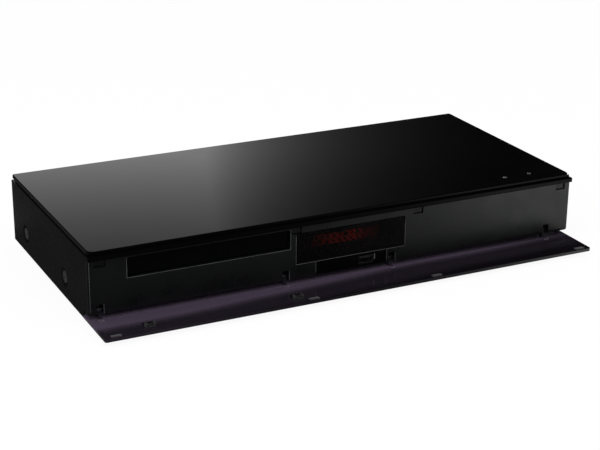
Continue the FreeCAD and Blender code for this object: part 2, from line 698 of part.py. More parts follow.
def revolve(body, outline):
    """Turns a profile of radius and height round the sketch's upright axis."""
    made = body.newObject("PartDesign::Revolution", body.Name + "_turned")
    made.Profile = outline
    made.ReferenceAxis = (outline, ["V_Axis"])
    made.Angle = 360
    return made


def edges(feature, axis, **places):
    """Names of the straight edges along an axis whose middles lie at the given places."""
    doc.recompute()
    found = []
    for number, edge in enumerate(feature.Shape.Edges, 1):
        start, end = edge.Vertexes[0].Point, edge.Vertexes[-1].Point
        along = end - start
        middle = (start + end) / 2
        straight = isinstance(edge.Curve, (Part.Line, Part.LineSegment))
        if not straight or abs(getattr(along, axis)) < along.Length - 1e-6:
            continue
        if all(abs(getattr(middle, key) - float(value)) < 0.01 for key, value in places.items()):
            found.append(f"Edge{number}")
    return found


def round_edges(body, feature, names, radius):
    made = body.newObject("PartDesign::Fillet", body.Name + "_rounding")
    made.Base = (feature, names)
    bind(made, "Radius", radius)
    return made


def bevel_edges(body, feature, names, size):
    made = body.newObject("PartDesign::Chamfer", body.Name + "_bevel")
    made.Base = (feature, names)
    bind(made, "Size", size)
    return made


def level_edges(feature, height):
    """Names of all edges that lie level at a height."""
    doc.recompute()
    found = []
    for number, edge in enumerate(feature.Shape.Edges, 1):
        box = edge.BoundBox
        if abs(box.ZMin - float(height)) < 0.01 and abs(box.ZMax - float(height)) < 0.01:
            found.append(f"Edge{number}")
    return found


def lower(made):
    """Tips a sub-part of the traverse down about the pivot, as it lies at rest."""
    y, z = back(s.pivot_back), s.pivot_high
    made.Placement = FreeCAD.Placement(V(), FreeCAD.Rotation(V(1, 0, 0), s.lowered.number))
    bind(made, "Placement.Rotation.Angle", s.lowered)
    bind(made, "Placement.Base.y", y - y * cosine(s.lowered) + z * sine(s.lowered))
    bind(made, "Placement.Base.z", z - y * sine(s.lowered) - z * cosine(s.lowered))
    return made


# Outer shell

def make_top_plate():
    body = new_body("top_plate")
    outer = sketch(body, "XY", lip_top)
    x = both(s.top_width / 2)
    y = (back(s.top_back), back(s.body_depth))
    rectangle(outer, x, y)
    plate = pad(body, outer, s.top_thick)
    corners = edges(plate, "z", y=y[0])
    plate = round_edges(body, plate, corners, s.top_corner)
    heels = edges(plate, "z", y=y[1])
    plate = round_edges(body, plate, heels, s.top_heel)
    plate = round_edges(body, plate, level_edges(plate, s.body_height), s.top_edge)
    inner = sketch(body, "XY", lip_top)
    inside = both(s.top_width / 2 - s.top_rim)
    rectangle(inner, inside, (y[0] + s.top_rim, y[1] - s.top_rim))
    pocket(body, inner, s.top_thick - s.top_skin)
    tabs = sketch(body, "XY", lip_top)
    for side in (-1, 1):
        edge = shoulder_half * side
        rectangle(tabs, sorted_pair(edge, edge + s.tab_thick * side),
                  span(back(s.tab_back), s.tab_width))
    pad(body, tabs, s.side_gap, backwards=True)
    return part("top_plate", body)


def sorted_pair(a, b):
    return (a, b) if float(a) < float(b) else (b, a)


def make_front_lip():
    body = new_body("front_lip")
    outline = sketch(body, "YZ", -half)
    rectangle(outline, (front, back(s.lip_depth)), (face_top, lip_top))
    bar = pad(body, outline, s.body_width)
    names = edges(bar, "x", y=front)
    bar = round_edges(body, bar, names, s.lip_edge)
    ends = edges(bar, "z", y=front)
    if ends:
        round_edges(body, bar, ends, s.lip_edge)
    return part("front_lip", body)


def make_case_cover():
    """One bent sheet: a top, two stepped sides with screw dimples, and a lip at the back."""
    body = new_body("cover_sheet")
    profile = sketch(body, "XZ", cover_front)
    sheet = s.cover_sheet
    low = s.foot_height
    step = lip_top - s.side_gap
    outer = [(cover_half, low), (cover_half, step), (shoulder_half, step), (shoulder_half, lip_top)]
    inner = [(shoulder_half - sheet, cover_under), (shoulder_half - sheet, step - sheet),
             (cover_half - sheet, step - sheet), (cover_half - sheet, low)]
    left = [(-x, z) for x, z in outer]
    left_inner = [(-x, z) for x, z in inner]
    polygon(profile, left + outer[::-1] + inner[::-1] + left_inner)
    pad(body, profile, back(s.body_depth) - cover_front)
    notch = sketch(body, "YZ", -half)
    rectangle(notch, (cover_front, chassis_front), (low, s.face_low))
    pocket(body, notch, s.body_width)
    shorter = sketch(body, "XY", lip_top)
    rectangle(shorter, both(shoulder_half), (rear_outer + sheet, back(s.body_depth)))
    pocket(body, shorter, s.side_gap + sheet, backwards=True)
    lip = sketch(body, "XZ", rear_outer)
    rectangle(lip, both(shoulder_half - sheet), (cover_under - s.rear_lip, cover_under))
    pad(body, lip, sheet)
    window = sketch(body, "XY", cover_under)
    rectangle(window, (touch_x[0] - sheet, touch_x[1] + sheet), (cover_front, touch_y[1] + sheet))
    pocket(body, window, sheet)
    holes = sketch(body, "XZ", rear_outer)
    for x in rear_screw_places():
        circle(holes, x, rear_screw_high, s.rear_screw_shank + s.press_gap)
    pocket(body, holes, sheet)
    bumps = []
    hollows = []
    for side in (-1, 1):
        axis_foot = cover_half * side
        for y in dimple_places():
            bumps.append(dimple(side, y, axis_foot, sheet, False))
            hollows.append(dimple(side, y, axis_foot, sheet, True))
            hollows.append(screw_hole(side, y))
    formed = fuse("cover_formed", body, *bumps)
    return part("case_cover", cut("case_cover", formed, *hollows))


def dimple_places():
    return (back(s.dimple_front), back(s.dimple_rear))


def dimple(side, y, outer, sheet, hollow):
    """A cone pressed into a side: its inner form, or the hollow that leaves the sheet."""
    reach_in = s.dimple_deep if hollow else s.dimple_deep + sheet
    near = outer - reach_in if side > 0 else outer
    small = s.dimple_floor if hollow else s.dimple_floor + sheet
    large = s.dimple_radius if hollow else s.dimple_radius + sheet
    radii = (small, large) if side > 0 else (large, small)
    return cone("dimple", "X", (near, y, s.dimple_height), radii[0], radii[1], reach_in)


def screw_hole(side, y):
    radius = s.screw_shank + s.press_gap
    inner = flange_half - s.cover_sheet
    foot = inner if side > 0 else -cover_half
    return rod("screw_hole", "X", (foot, y, s.dimple_height), radius, cover_half - inner)


rear_screw_high = cover_under - s.rear_lip / 2


def rear_screw_places():
    outer = s.foot_side + s.rear_screw_out
    return (-outer, -s.foot_side / 4, s.foot_side / 2, outer)


def make_rear_screws():
    pieces = []
    for x in rear_screw_places():
        head = rod("rear_head", "Y", (x, rear_outer + s.cover_sheet, rear_screw_high),
                   s.rear_screw_head, s.rear_screw_rise)
        shank = rod("rear_shank", "Y",
                    (x, rear_outer + s.cover_sheet - s.rear_screw_reach, rear_screw_high),
                    s.rear_screw_shank, s.rear_screw_reach)
        pieces.append(fuse("rear_screw", head, shank))
    return part("rear_screws", group("rear_screws", *pieces))


def make_side_screws():
    """Screws with low domed heads, seated on the floors of the side dimples."""
    pieces = []
    for side in (-1, 1):
        floor = (cover_half - s.dimple_deep) * side
        for y in dimple_places():
            rise = s.screw_rise * side
            low, high = sorted_pair(floor, floor + rise)
            radii = (s.screw_head, s.screw_head * 0.8) if side > 0 else (s.screw_head * 0.8, s.screw_head)
            head = cone("side_head", "X", (low, y, s.dimple_height), radii[0], radii[1], high - low)
            low, high = sorted_pair(floor, floor - s.screw_reach * side)
            shank = rod("side_shank", "X", (low, y, s.dimple_height), s.screw_shank, high - low)
            pieces.append(fuse("side_screw", head, shank))
    return part("side_screws", group("side_screws", *pieces))


def board_posts(left, right, near, far):
    """The four corners, in from a board's edges, where its posts stand."""
    inset = s.post_inset
    return [(x, y) for x in (left + inset, right - inset) for y in (near + inset, far - inset)]


def drive_mounts():
    side = drive_half - s.grommet_inset
    near = chassis_front + s.grommet_inset
    far = back(s.drive_rear) - s.grommet_inset
    return [(s.tray_mid + side * sign, y) for sign in (-1, 1) for y in (near, far)]


def usb_board_box():
    x = span(s.usb_mid, s.usb_width * 2.2)
    y = (face_rear + s.joint_gap * 2, back(s.corner_notch) + s.post_radius * 5)
    return x, y


def usb_posts():
    x, y = usb_board_box()
    return [(x[0] + s.post_inset, y[1] - s.post_radius * 2), (x[1] - s.post_inset, y[1] - s.post_radius * 2)]


def make_bottom_chassis():
    body = new_body("bottom_chassis")
    sheet = s.cover_sheet
    floor = sketch(body, "XY", s.foot_height)
    rectangle(floor, both(flange_half), (chassis_front, rear_inner))
    pad(body, floor, sheet)
    flanges = sketch(body, "YZ", -flange_half)
    rectangle(flanges, (chassis_front, rear_inner), (floor_top, s.flange_high))
    pad(body, flanges, sheet)
    flanges = sketch(body, "YZ", flange_half - sheet)
    rectangle(flanges, (chassis_front, rear_inner), (floor_top, s.flange_high))
    pad(body, flanges, sheet)
    wall = sketch(body, "XZ", chassis_front)
    rectangle(wall, both(flange_half - sheet), (floor_top, s.face_low))
    pad(body, wall, sheet)
    posts = sketch(body, "XY", floor_top)
    places = board_posts(s.main_left, s.main_right, back(s.main_front), back(s.main_rear))
    places += board_posts(s.power_left, s.power_right, back(s.power_front), back(s.power_rear))
    for x, y in places + drive_mounts() + usb_posts():
        hexagon(posts, x, y, s.post_radius)
    pad(body, posts, s.post_high - floor_top)
    holes = sketch(body, "YZ", -flange_half)
    for y in dimple_places():
        circle(holes, y, s.dimple_height, s.screw_shank + s.press_gap)
    pocket(body, holes, flange_half * 2)
    vent = sketch(body, "XY", s.foot_height)
    middle = (s.power_left + s.power_right) / 2
    start = back(s.power_front) + s.vent_pitch * 3
    round_rectangle(vent, span(middle, s.vent_length), span(start, s.vent_width), s.vent_width / 2.05)
    slot = pocket(body, vent, sheet)
    rows = body.newObject("PartDesign::LinearPattern", "chassis_vents")
    rows.Originals = [slot]
    rows.Direction = (vent, ["V_Axis"])
    bind(rows, "Length", s.vent_pitch * (vent_rows - 1))
    rows.Occurrences = vent_rows
    body.Tip = rows
    return part("bottom_chassis", body)


vent_rows = 9


def make_feet():
    pieces = []
    for x in both(s.foot_side):
        for y in (back(s.foot_front), back(s.foot_rear)):
            tip = cone("foot_tip", "Z", (x, y, 0), s.foot_radius - s.foot_edge, s.foot_radius, s.foot_edge)
            stem = rod("foot_stem", "Z", (x, y, s.foot_edge), s.foot_radius, s.foot_height - s.foot_edge)
            pieces.append(fuse("foot", tip, stem))
    return part("feet", group("feet", *pieces))


def make_rear_panel():
    body = new_body("rear_panel")
    sheet = s.cover_sheet
    outline = sketch(body, "XZ", rear_inner)
    inner = shoulder_half - sheet - s.press_gap
    rectangle(outline, both(inner), (floor_top, cover_under))
    pad(body, outline, sheet)
    fold = sketch(body, "XZ", rear_inner)
    rectangle(fold, both(inner), (floor_top, floor_top + sheet))
    fold_front = back(s.power_rear) - s.post_inset + s.post_radius + s.joint_gap
    pad(body, fold, rear_inner - fold_front, backwards=True)
    holes = sketch(body, "XZ", rear_inner)
    gap = s.cutout_gap
    for x, width, high in rear_sockets():
        rectangle(holes, span(x, width + gap * 2), (board_top - gap, board_top + high + gap))
    circle(holes, s.coax_mid, board_top + s.coax_high, s.coax_ring + gap)
    for x in rear_screw_places():
        circle(holes, x, rear_screw_high, s.rear_screw_shank + s.press_gap)
    pocket(body, holes, sheet)
    grille = sketch(body, "XZ", rear_inner)
    middle = s.fan_low + s.fan_size / 2
    pitch = s.fan_size / fan_rows
    low = middle - pitch * (fan_rows - 1) / 2
    round_rectangle(grille, span(s.fan_mid, s.fan_size * 0.8), span(low, s.vent_width),
                    s.vent_width / 2.05)
    slot = pocket(body, grille, sheet)
    rows = body.newObject("PartDesign::LinearPattern", "fan_grille")
    rows.Originals = [slot]
    rows.Direction = (grille, ["V_Axis"])
    bind(rows, "Length", pitch * (fan_rows - 1))
    rows.Occurrences = fan_rows
    body.Tip = rows
    return part("rear_panel", body)


fan_rows = 7


def rear_sockets():
    return ((s.hdmi_one, s.hdmi_width, s.hdmi_high), (s.hdmi_two, s.hdmi_width, s.hdmi_high),
            (s.lan_mid, s.lan_width, s.lan_high), (s.inlet_mid, s.inlet_width, s.inlet_high))


# Front panel, window and flap

def make_front_panel():
    body = new_body("front_panel")
    z = (s.face_low, face_top)
    outline = sketch(body, "XZ", face_y)
    rectangle(outline, both(half), z)
    face = pad(body, outline, s.face_wall)
    lower = edges(face, "x", y=face_y, z=z[0])
    face = round_edges(body, face, lower, s.face_foot)
    sides = edges(face, "z", y=face_y)
    round_edges(body, face, sides, s.face_side)
    inside = cover_half - s.cover_sheet - s.joint_gap / 3
    ring = sketch(body, "XZ", face_rear)
    rectangle(ring, both(inside), z)
    wall = s.return_wall
    rectangle(ring, both(inside - wall), (z[0] + wall, z[1] - wall))
    pad(body, ring, s.return_depth)
    shroud = sketch(body, "XZ", face_rear)
    x = span(s.tray_mid, s.slot_width)
    up = (s.slot_low, s.slot_high)
    extra = s.shroud_wall
    rectangle(shroud, (x[0] - extra, x[1] + extra), (up[0] - extra, z[1] - wall))
    pad(body, shroud, s.shroud_depth)
    opening = sketch(body, "XZ", face_y)
    round_rectangle(opening, x, up, s.slot_corner)
    pocket(body, opening, s.face_wall + s.shroud_depth)
    add_window_seat(body)
    add_hinge_seats(body, z)
    add_landings(body)
    bosses = sketch(body, "XZ", face_rear)
    for bx, bz in front_board_holes():
        circle(bosses, bx, bz, s.board_boss)
    pad(body, bosses, board_front - face_rear)
    return part("front_panel", body)


board_front = face_y + s.face_board_back
window_x = (s.window_left, s.window_right)
window_z = (s.window_low, s.window_high)
front_board_x = (drive_edge + s.board_gap, drive_edge + s.board_gap + s.front_board_width)
front_board_z = (s.window_low - 1.0, s.window_high + 2.4)


def front_board_holes():
    inset = s.board_boss
    across = (window_x[1] + inset * 2, front_board_x[1] - inset)
    up = (front_board_z[0] + inset, front_board_z[1] - inset)
    return [(x, z) for x in across for z in up]


def add_window_seat(body):
    """A rebate for the window, a hole behind it, and the recess for the socket below."""
    seat = sketch(body, "XZ", face_y)
    round_rectangle(seat, window_x, window_z, s.window_corner)
    pocket(body, seat, s.window_thick + s.window_gap)
    hole = sketch(body, "XZ", face_y)
    edge = s.window_seat
    rectangle(hole, (window_x[0] + edge, window_x[1] - edge), (window_z[0] + edge, window_z[1] - edge))
    pocket(body, hole, s.face_wall)
    recess = sketch(body, "XZ", face_y)
    rectangle(recess, (s.recess_left, s.recess_right), (s.face_low, s.window_low))
    pocket(body, recess, s.recess_deep)
    socket = sketch(body, "XZ", face_y)
    gap = s.window_gap * 2
    rectangle(socket, span(s.usb_mid, s.usb_width + gap * 2),
              (board_top - gap, board_top + s.usb_high + gap))
    pocket(body, socket, s.face_wall)


def add_hinge_seats(body, z):
    """Four open slots, each with two ears behind it that hold the hinge pin."""
    ears = sketch(body, "XZ", face_rear)
    notch = sketch(body, "XZ", face_y)
    side = s.hinge_slot / 2
    for x in hinges:
        for sign in (-1, 1):
            rectangle(ears, sorted_pair(x + side * sign, x + (side + s.ear_wall) * sign),
                      (z[0], s.hinge_slot_high))
        rectangle(notch, span(x, s.hinge_slot), (z[0] - 1.0, s.hinge_slot_high))
    pad(body, ears, hinge_y + s.barrel_radius - face_rear)
    pocket(body, notch, hinge_y + s.barrel_radius + s.joint_gap * 2 - face_y)
    bores = sketch(body, "YZ", -half)
    circle(bores, hinge_y, hinge_high, s.pin_radius + s.press_gap)
    pocket(body, bores, s.body_width)


def add_landings(body):
    """Shallow pockets that the flap's stops land in, each with three low ribs."""
    high = hinge_high + stop_reach
    gap = s.joint_gap * 2
    pockets = sketch(body, "XZ", face_y)
    ribs = sketch(body, "XZ", face_y + s.landing_deep)
    for x in stops:
        rectangle(pockets, span(x, s.stop_width + gap * 2), span(high, s.stop_depth + gap * 2))
        for step in (-1, 0, 1):
            rectangle(ribs, span(x + s.stop_width * step / 4, s.landing_rib * 3), span(high, s.stop_depth))
    pocket(body, pockets, s.landing_deep)
    pad(body, ribs, s.landing_rib, backwards=True)


def make_display_window():
    body = new_body("display_window")
    gap = s.window_gap
    outline = sketch(body, "XZ", face_y)
    round_rectangle(outline, (window_x[0] + gap, window_x[1] - gap),
                    (window_z[0] + gap, window_z[1] - gap), s.window_corner - gap)
    lens = pad(body, outline, s.window_thick)
    doc.recompute()
    names = [f"Edge{n}" for n, e in enumerate(lens.Shape.Edges, 1)
             if e.BoundBox.YMax < float(face_y) + 0.01]
    bevel_edges(body, lens, names, s.window_gap * 3)
    return part("display_window", body)


def make_flap():
    """The drop-down front: a plate with a raised rim round its inner face."""
    body = new_body("flap")
    y = (hinge_y - flap_span, hinge_y + s.flap_tail)
    outline = sketch(body, "XY", flap_under)
    rectangle(outline, both(half), y)
    plate = pad(body, outline, s.flap_thick)
    plate = round_edges(body, plate, edges(plate, "z", y=y[0]), s.flap_corner)
    lower = level_edges(plate, flap_under)
    plate = round_edges(body, plate, lower, s.flap_edge)
    inner = sketch(body, "XY", flap_top)
    rim = s.flap_rim
    rectangle(inner, both(half - rim), (y[0] + rim, hinge_y - hinge_drop))
    pocket(body, inner, s.flap_recess, backwards=True)
    seats = sketch(body, "XY", flap_top)
    for x in stops:
        rectangle(seats, span(x, s.stop_width), stop_y)
    pocket(body, seats, s.flap_recess, backwards=True)
    return part("flap", body)


def make_flap_arms():
    """Clear hinge arms that rise from the flap's inner face to the pins."""
    pieces = []
    for x in hinges:
        body = new_body("flap_arm")
        outline = sketch(body, "YZ", x - s.arm_width / 2)
        low = flap_top
        polygon(outline, [(hinge_y - s.arm_front, low), (hinge_y + s.arm_behind, low),
                          (hinge_y + s.arm_behind, low + s.flap_thick * 0.7),
                          (hinge_y + s.barrel_radius * 0.86, hinge_high),
                          (hinge_y - s.barrel_radius * 0.86, hinge_high),
                          (hinge_y - s.arm_front, low + s.flap_thick * 0.7)])
        pad(body, outline, s.arm_width)
        barrel = sketch(body, "YZ", x - s.arm_width / 2)
        circle(barrel, hinge_y, hinge_high, s.barrel_radius)
        pad(body, barrel, s.arm_width)
        bore = sketch(body, "YZ", x - s.arm_width / 2)
        circle(bore, hinge_y, hinge_high, s.pin_radius + s.bearing_gap)
        pocket(body, bore, s.arm_width)
        pieces.append(body)
    return part("flap_arms", group("flap_arms", *pieces))


def make_hinge_pins():
    length = s.hinge_slot + s.ear_wall * 2
    pins = [rod("hinge_pin", "X", (x - length / 2, hinge_y, hinge_high), s.pin_radius, length)
            for x in hinges]
    return part("hinge_pins", group("hinge_pins", *pins))


def wedge(name, x, width, y, low, heights):
    """A pad with a sloping top; heights are its near and far ends."""
    body = new_body(name)
    outline = sketch(body, "YZ", x - width / 2)
    polygon(outline, [(y[0], low), (y[1], low), (y[1], low + heights[1]), (y[0], low + heights[0])])
    pad(body, outline, width)
    return body


def make_flap_stops():
    low = flap_top - s.flap_recess
    rise = s.flap_recess + s.stop_height
    pieces = [wedge("flap_stop", x, s.stop_width, stop_y, low, (rise, rise / 2)) for x in stops]
    return part("flap_stops", group("flap_stops", *pieces))


def make_flap_pads():
    low = flap_top - s.flap_recess
    y = (hinge_y - s.pad_far, hinge_y - s.pad_near)
    pieces = [wedge("flap_pad", x, s.pad_width, y, low,
                    (s.flap_recess + s.pad_height, s.flap_recess / 2)) for x in (s.pad_one, s.pad_two)]
    return part("flap_pads", group("flap_pads", *pieces))


def make_flap_pushers():
    """Bars between cheeks, which the tray's front bears on as it pushes the flap open."""
    low = flap_top - s.flap_recess
    y = (hinge_y - s.pusher_far, hinge_y - s.pad_far)
    pieces = []
    for x in (s.pad_one, s.pad_two):
        base = block("pusher_base", span(x, s.pad_width), y, (low, low + s.flap_recess * 2))
        cheeks = []
        for sign in (-1, 1):
            side = s.pad_width / 2 * sign
            inner = side - s.flap_recess * 4 * sign
            cheeks.append(block("pusher_cheek", sorted_pair(x + inner, x + side), y,
                                (low, low + s.flap_recess + s.pusher_height)))
        middle = (y[0] + y[1]) / 2
        bar = rod("pusher_bar", "X", (x - s.pad_width / 2, middle, low + s.pusher_height * 0.75),
                  s.pusher_height / 3, s.pad_width)
        pieces.append(fuse("flap_pusher", base, *cheeks, bar))
    return part("flap_pushers", group("flap_pushers", *pieces))


# Display, boards and sockets

touch_x = (s.stop_four - s.touch_outer - s.touch_width, s.stop_four - s.touch_outer)
touch_front = back(s.top_back + s.top_rim) + s.joint_gap
touch_y = (touch_front, touch_front + s.touch_depth)


def make_touch_board():
    high = s.body_height - s.top_skin
    return part("touch_board", block("touch_board", touch_x, touch_y, (high - s.touch_thick, high)))


def make_front_board():
    body = new_body("front_board")
    outline = sketch(body, "XZ", board_front)
    rectangle(outline, front_board_x, front_board_z)
    pad(body, outline, s.board_thick)
    return part("front_board", body)


display_x = (front_board_x[0], front_board_x[0] + s.display_width)


def make_display_module():
    z = (s.window_low + s.window_seat + 1.0, s.window_high - s.window_seat - 1.0)
    near = face_y + s.window_thick + s.joint_gap * 2
    body = new_body("display_module")
    outline = sketch(body, "XZ", near)
    rectangle(outline, display_x, z)
    pad(body, outline, board_front - near)
    cells = sketch(body, "XZ", near)
    inset = s.window_seat
    rectangle(cells, (display_x[0] + inset, display_x[1] - inset), (z[0] + inset, z[1] - inset))
    pocket(body, cells, s.joint_gap)
    return part("display_module", body)


def make_ir_receiver():
    x = (display_x[1] + 1.0, display_x[1] + 1.0 + s.receiver_width)
    z = (s.window_low + s.window_high) / 2
    near = face_y + s.window_thick + s.joint_gap * 4
    can = block("ir_can", x, (near + 1.5, board_front), (z - 3.0, z + 3.0))
    dome = doc.addObject("Part::Sphere", "ir_dome")
    bind(dome, "Radius", s.receiver_dome)
    move(dome, (x[0] + x[1]) / 2, near + s.receiver_dome, z)
    return part("ir_receiver", fuse("ir_receiver", can, dome))


def shell_socket(name, x, y, z, wall, mouth):
    """A sheet socket: a box with one open end, at the front (-1) or the back (1)."""
    outer = block(name + "_outer", x, y, z)
    inner_y = (y[0] - 1.0, y[1] - wall) if mouth < 0 else (y[0] + wall, y[1] + 1.0)
    inner = block(name + "_hollow", (x[0] + wall, x[1] - wall), inner_y, (z[0] + wall, z[1] - wall))
    return cut(name, outer, inner)


def make_usb():
    x, y = usb_board_box()
    part("usb_board", block("usb_board", x, (face_rear + s.window_gap, y[1]), (s.post_high, board_top)))
    start = face_y + s.recess_deep + s.window_gap
    socket = shell_socket("usb_socket", span(s.usb_mid, s.usb_width), (start, start + s.usb_depth),
                          (board_top, board_top + s.usb_high), s.usb_wall, -1)
    return part("usb_socket", socket)


def make_main_board():
    body = new_body("main_board")
    outline = sketch(body, "XY", s.post_high)
    rectangle(outline, (s.main_left, s.main_right), (back(s.main_front), back(s.main_rear)))
    pad(body, outline, s.board_thick)
    return part("main_board", body)


sink_rows = 7

# Smaller chips: place from the main board's left and front edges, width and depth
MEMORY = ((32.0, 32.0, 9.0, 13.0), (32.0, 50.0, 9.0, 13.0), (96.0, 32.0, 12.0, 18.0), (104.0, 60.0, 8.0, 8.0))


def make_chips():
    pieces = [block("processor", span(s.chip_mid, s.chip_size), span(back(s.chip_back), s.chip_size),
                    (board_top, board_top + s.chip_thick))]
    for x, y, width, depth in MEMORY:
        pieces.append(block("memory", span(s.main_left + x, as_size(width)),
                            span(back(s.main_front) + y, as_size(depth)),
                            (board_top, board_top + s.memory_thick)))
    return part("chips", group("chips", *pieces))


def make_heatsink():
    """An extruded heatsink: a base with upright fins."""
    body = new_body("heatsink")
    low = board_top + s.chip_thick
    x = span(s.chip_mid, s.sink_size)
    y = span(back(s.chip_back), s.sink_size)
    outline = sketch(body, "XY", low)
    rectangle(outline, x, y)
    pad(body, outline, s.sink_height)
    pitch = (s.sink_size - s.sink_fin) / sink_rows
    gap = sketch(body, "XZ", y[0])
    rectangle(gap, (x[0] + s.sink_fin, x[0] + pitch), (low + s.sink_base, low + s.sink_height))
    cutter = pocket(body, gap, s.sink_size)
    rows = body.newObject("PartDesign::LinearPattern", "sink_gaps")
    rows.Originals = [cutter]
    rows.Direction = (gap, ["H_Axis"])
    bind(rows, "Length", pitch * (sink_rows - 1))
    rows.Occurrences = sink_rows
    body.Tip = rows
    return part("heatsink", body)


def make_power_board():
    body = new_body("power_board")
    outline = sketch(body, "XY", s.post_high)
    rectangle(outline, (s.power_left, s.power_right), (back(s.power_front), back(s.power_rear)))
    pad(body, outline, s.board_thick)
    return part("power_board", body)


def make_transformer():
    """A ferrite core round a wound bobbin."""
    x, y = s.power_left + s.core_side, back(s.power_front) + s.core_back
    low = board_top + s.bobbin_foot
    limb = s.core_limb
    wide = s.core_width - limb * 2
    core = block("core", span(x, s.core_width), span(y, s.core_depth), (low, low + s.core_high))
    window = block("core_window", span(x, wide), span(y, s.core_depth + 2),
                   (low + limb, low + s.core_high - limb))
    frame = cut("core_frame", core, window)
    foot = block("bobbin_foot", span(x, s.core_width - 3), span(y, s.core_depth - 2), (board_top, low))
    coil = rod("coil", "X", (x - wide / 2, y, low + s.core_high / 2), s.coil_radius, wide)
    return part("transformer", fuse("transformer", frame, foot, coil))


# Capacitors: place from the power board's left and front edges, radius and height
CAPACITORS = ((16.0, 22.0, 9.0, 30.0), (36.0, 16.0, 5.0, 20.0), (50.0, 16.0, 5.0, 20.0),
              (14.0, 92.0, 4.0, 14.0), (26.0, 98.0, 4.0, 14.0))


def make_capacitors():
    pieces = []
    for x, y, radius, height in CAPACITORS:
        foot = (s.power_left + x, back(s.power_front) + y, board_top)
        pieces.append(rod("capacitor", "Z", foot, radius, height))
    return part("capacitors", group("capacitors", *pieces))


def make_choke():
    """The ring of a mains filter coil, on its foot."""
    x, y = s.power_right - s.choke_side, back(s.power_front) + s.choke_back
    low = board_top + s.choke_foot
    ring = rod("choke_ring", "Z", (x, y, low), s.choke_outer, s.choke_height)
    hole = rod("choke_hole", "Z", (x, y, low), s.choke_inner, s.choke_height)
    wide = s.choke_outer * 1.5
    foot = block("choke_foot", span(x, wide), span(y, wide), (board_top, low))
    return part("choke", fuse("choke", cut("choke_core", ring, hole), foot))


def make_rear_sockets():
    end = rear_outer + s.socket_proud
    pieces = []
    for x in (s.hdmi_one, s.hdmi_two):
        z = (board_top, board_top + s.hdmi_high)
        pieces.append(shell_socket("hdmi", span(x, s.hdmi_width), (end - s.hdmi_depth, end), z,
                                   s.hdmi_wall, 1))
    part("hdmi_sockets", group("hdmi_sockets", *pieces))
    z = (board_top, board_top + s.lan_high)
    part("lan_socket", shell_socket("lan_socket", span(s.lan_mid, s.lan_width),
                                    (end - s.lan_depth, end), z, s.lan_wall, 1))
    make_coax_socket(end)
    make_inlet(end)


def make_coax_socket(end):
    high = board_top + s.coax_high
    rear = rear_inner - s.window_gap
    body = block("coax_body", span(s.coax_mid, s.coax_body * 2), (rear - s.coax_depth, rear),
                 (board_top, high + s.coax_body))
    ring = rod("coax_ring", "Y", (s.coax_mid, rear, high), s.coax_ring, end + s.coax_out - rear)
    bore = rod("coax_bore", "Y", (s.coax_mid, rear - s.coax_bore_front, high), s.coax_bore,
               s.coax_bore_long)
    return part("coax_socket", cut("coax_socket", fuse("coax_solid", body, ring), bore))


def make_inlet(end):
    """A two-pin mains inlet with a rounded hollow."""
    body = new_body("ac_inlet")
    x = span(s.inlet_mid, s.inlet_width)
    z = (board_top, board_top + s.inlet_high)
    middle = (z[0] + z[1]) / 2
    outline = sketch(body, "XZ", end - s.inlet_depth)
    rectangle(outline, x, z)
    pad(body, outline, s.inlet_depth)
    hollow = sketch(body, "XZ", end)
    round_rectangle(hollow, span(s.inlet_mid, s.inlet_hollow_width),
                    span(middle, s.inlet_hollow_high), s.inlet_hollow_high / 2.1)
    pocket(body, hollow, s.inlet_hollow_deep, backwards=True)
    pins = sketch(body, "XZ", end - s.inlet_hollow_deep)
    for side in (-1, 1):
        circle(pins, s.inlet_mid + s.inlet_pin_side * side, middle, s.inlet_pin)
    pad(body, pins, s.inlet_hollow_deep - s.inlet_pin_inside)
    return part("ac_inlet", body)


# Fan

fan_blades = 7
fan_y = rear_inner - s.fan_depth
fan_high = s.fan_low + s.fan_size / 2


def make_fan_frame():
    """A square frame with a round bore, and a bearing held by four arms at its back."""
    body = new_body("fan_frame")
    outline = sketch(body, "XZ", fan_y)
    z = (s.fan_low, s.fan_low + s.fan_size)
    round_rectangle(outline, span(s.fan_mid, s.fan_size), z, as_size(3.0))
    circle(outline, s.fan_mid, fan_high, s.fan_bore)
    pad(body, outline, s.fan_depth)
    arms = sketch(body, "XZ", rear_inner)
    rectangle(arms, span(s.fan_mid, s.fan_bore * 2 + 1.0), span(fan_high, as_size(2.0)))
    pad(body, arms, 1.5, backwards=True)
    arms = sketch(body, "XZ", rear_inner)
    rectangle(arms, span(s.fan_mid, as_size(2.0)), span(fan_high, s.fan_bore * 2 + 1.0))
    pad(body, arms, 1.5, backwards=True)
    hub = sketch(body, "XZ", rear_inner)
    circle(hub, s.fan_mid, fan_high, s.fan_hub)
    pad(body, hub, 2.0, backwards=True)
    bearing = sketch(body, "XZ", rear_inner)
    circle(bearing, s.fan_mid, fan_high, s.fan_shaft + s.bearing_gap)
    pocket(body, bearing, 2.0, backwards=True)
    return part("fan_frame", body)


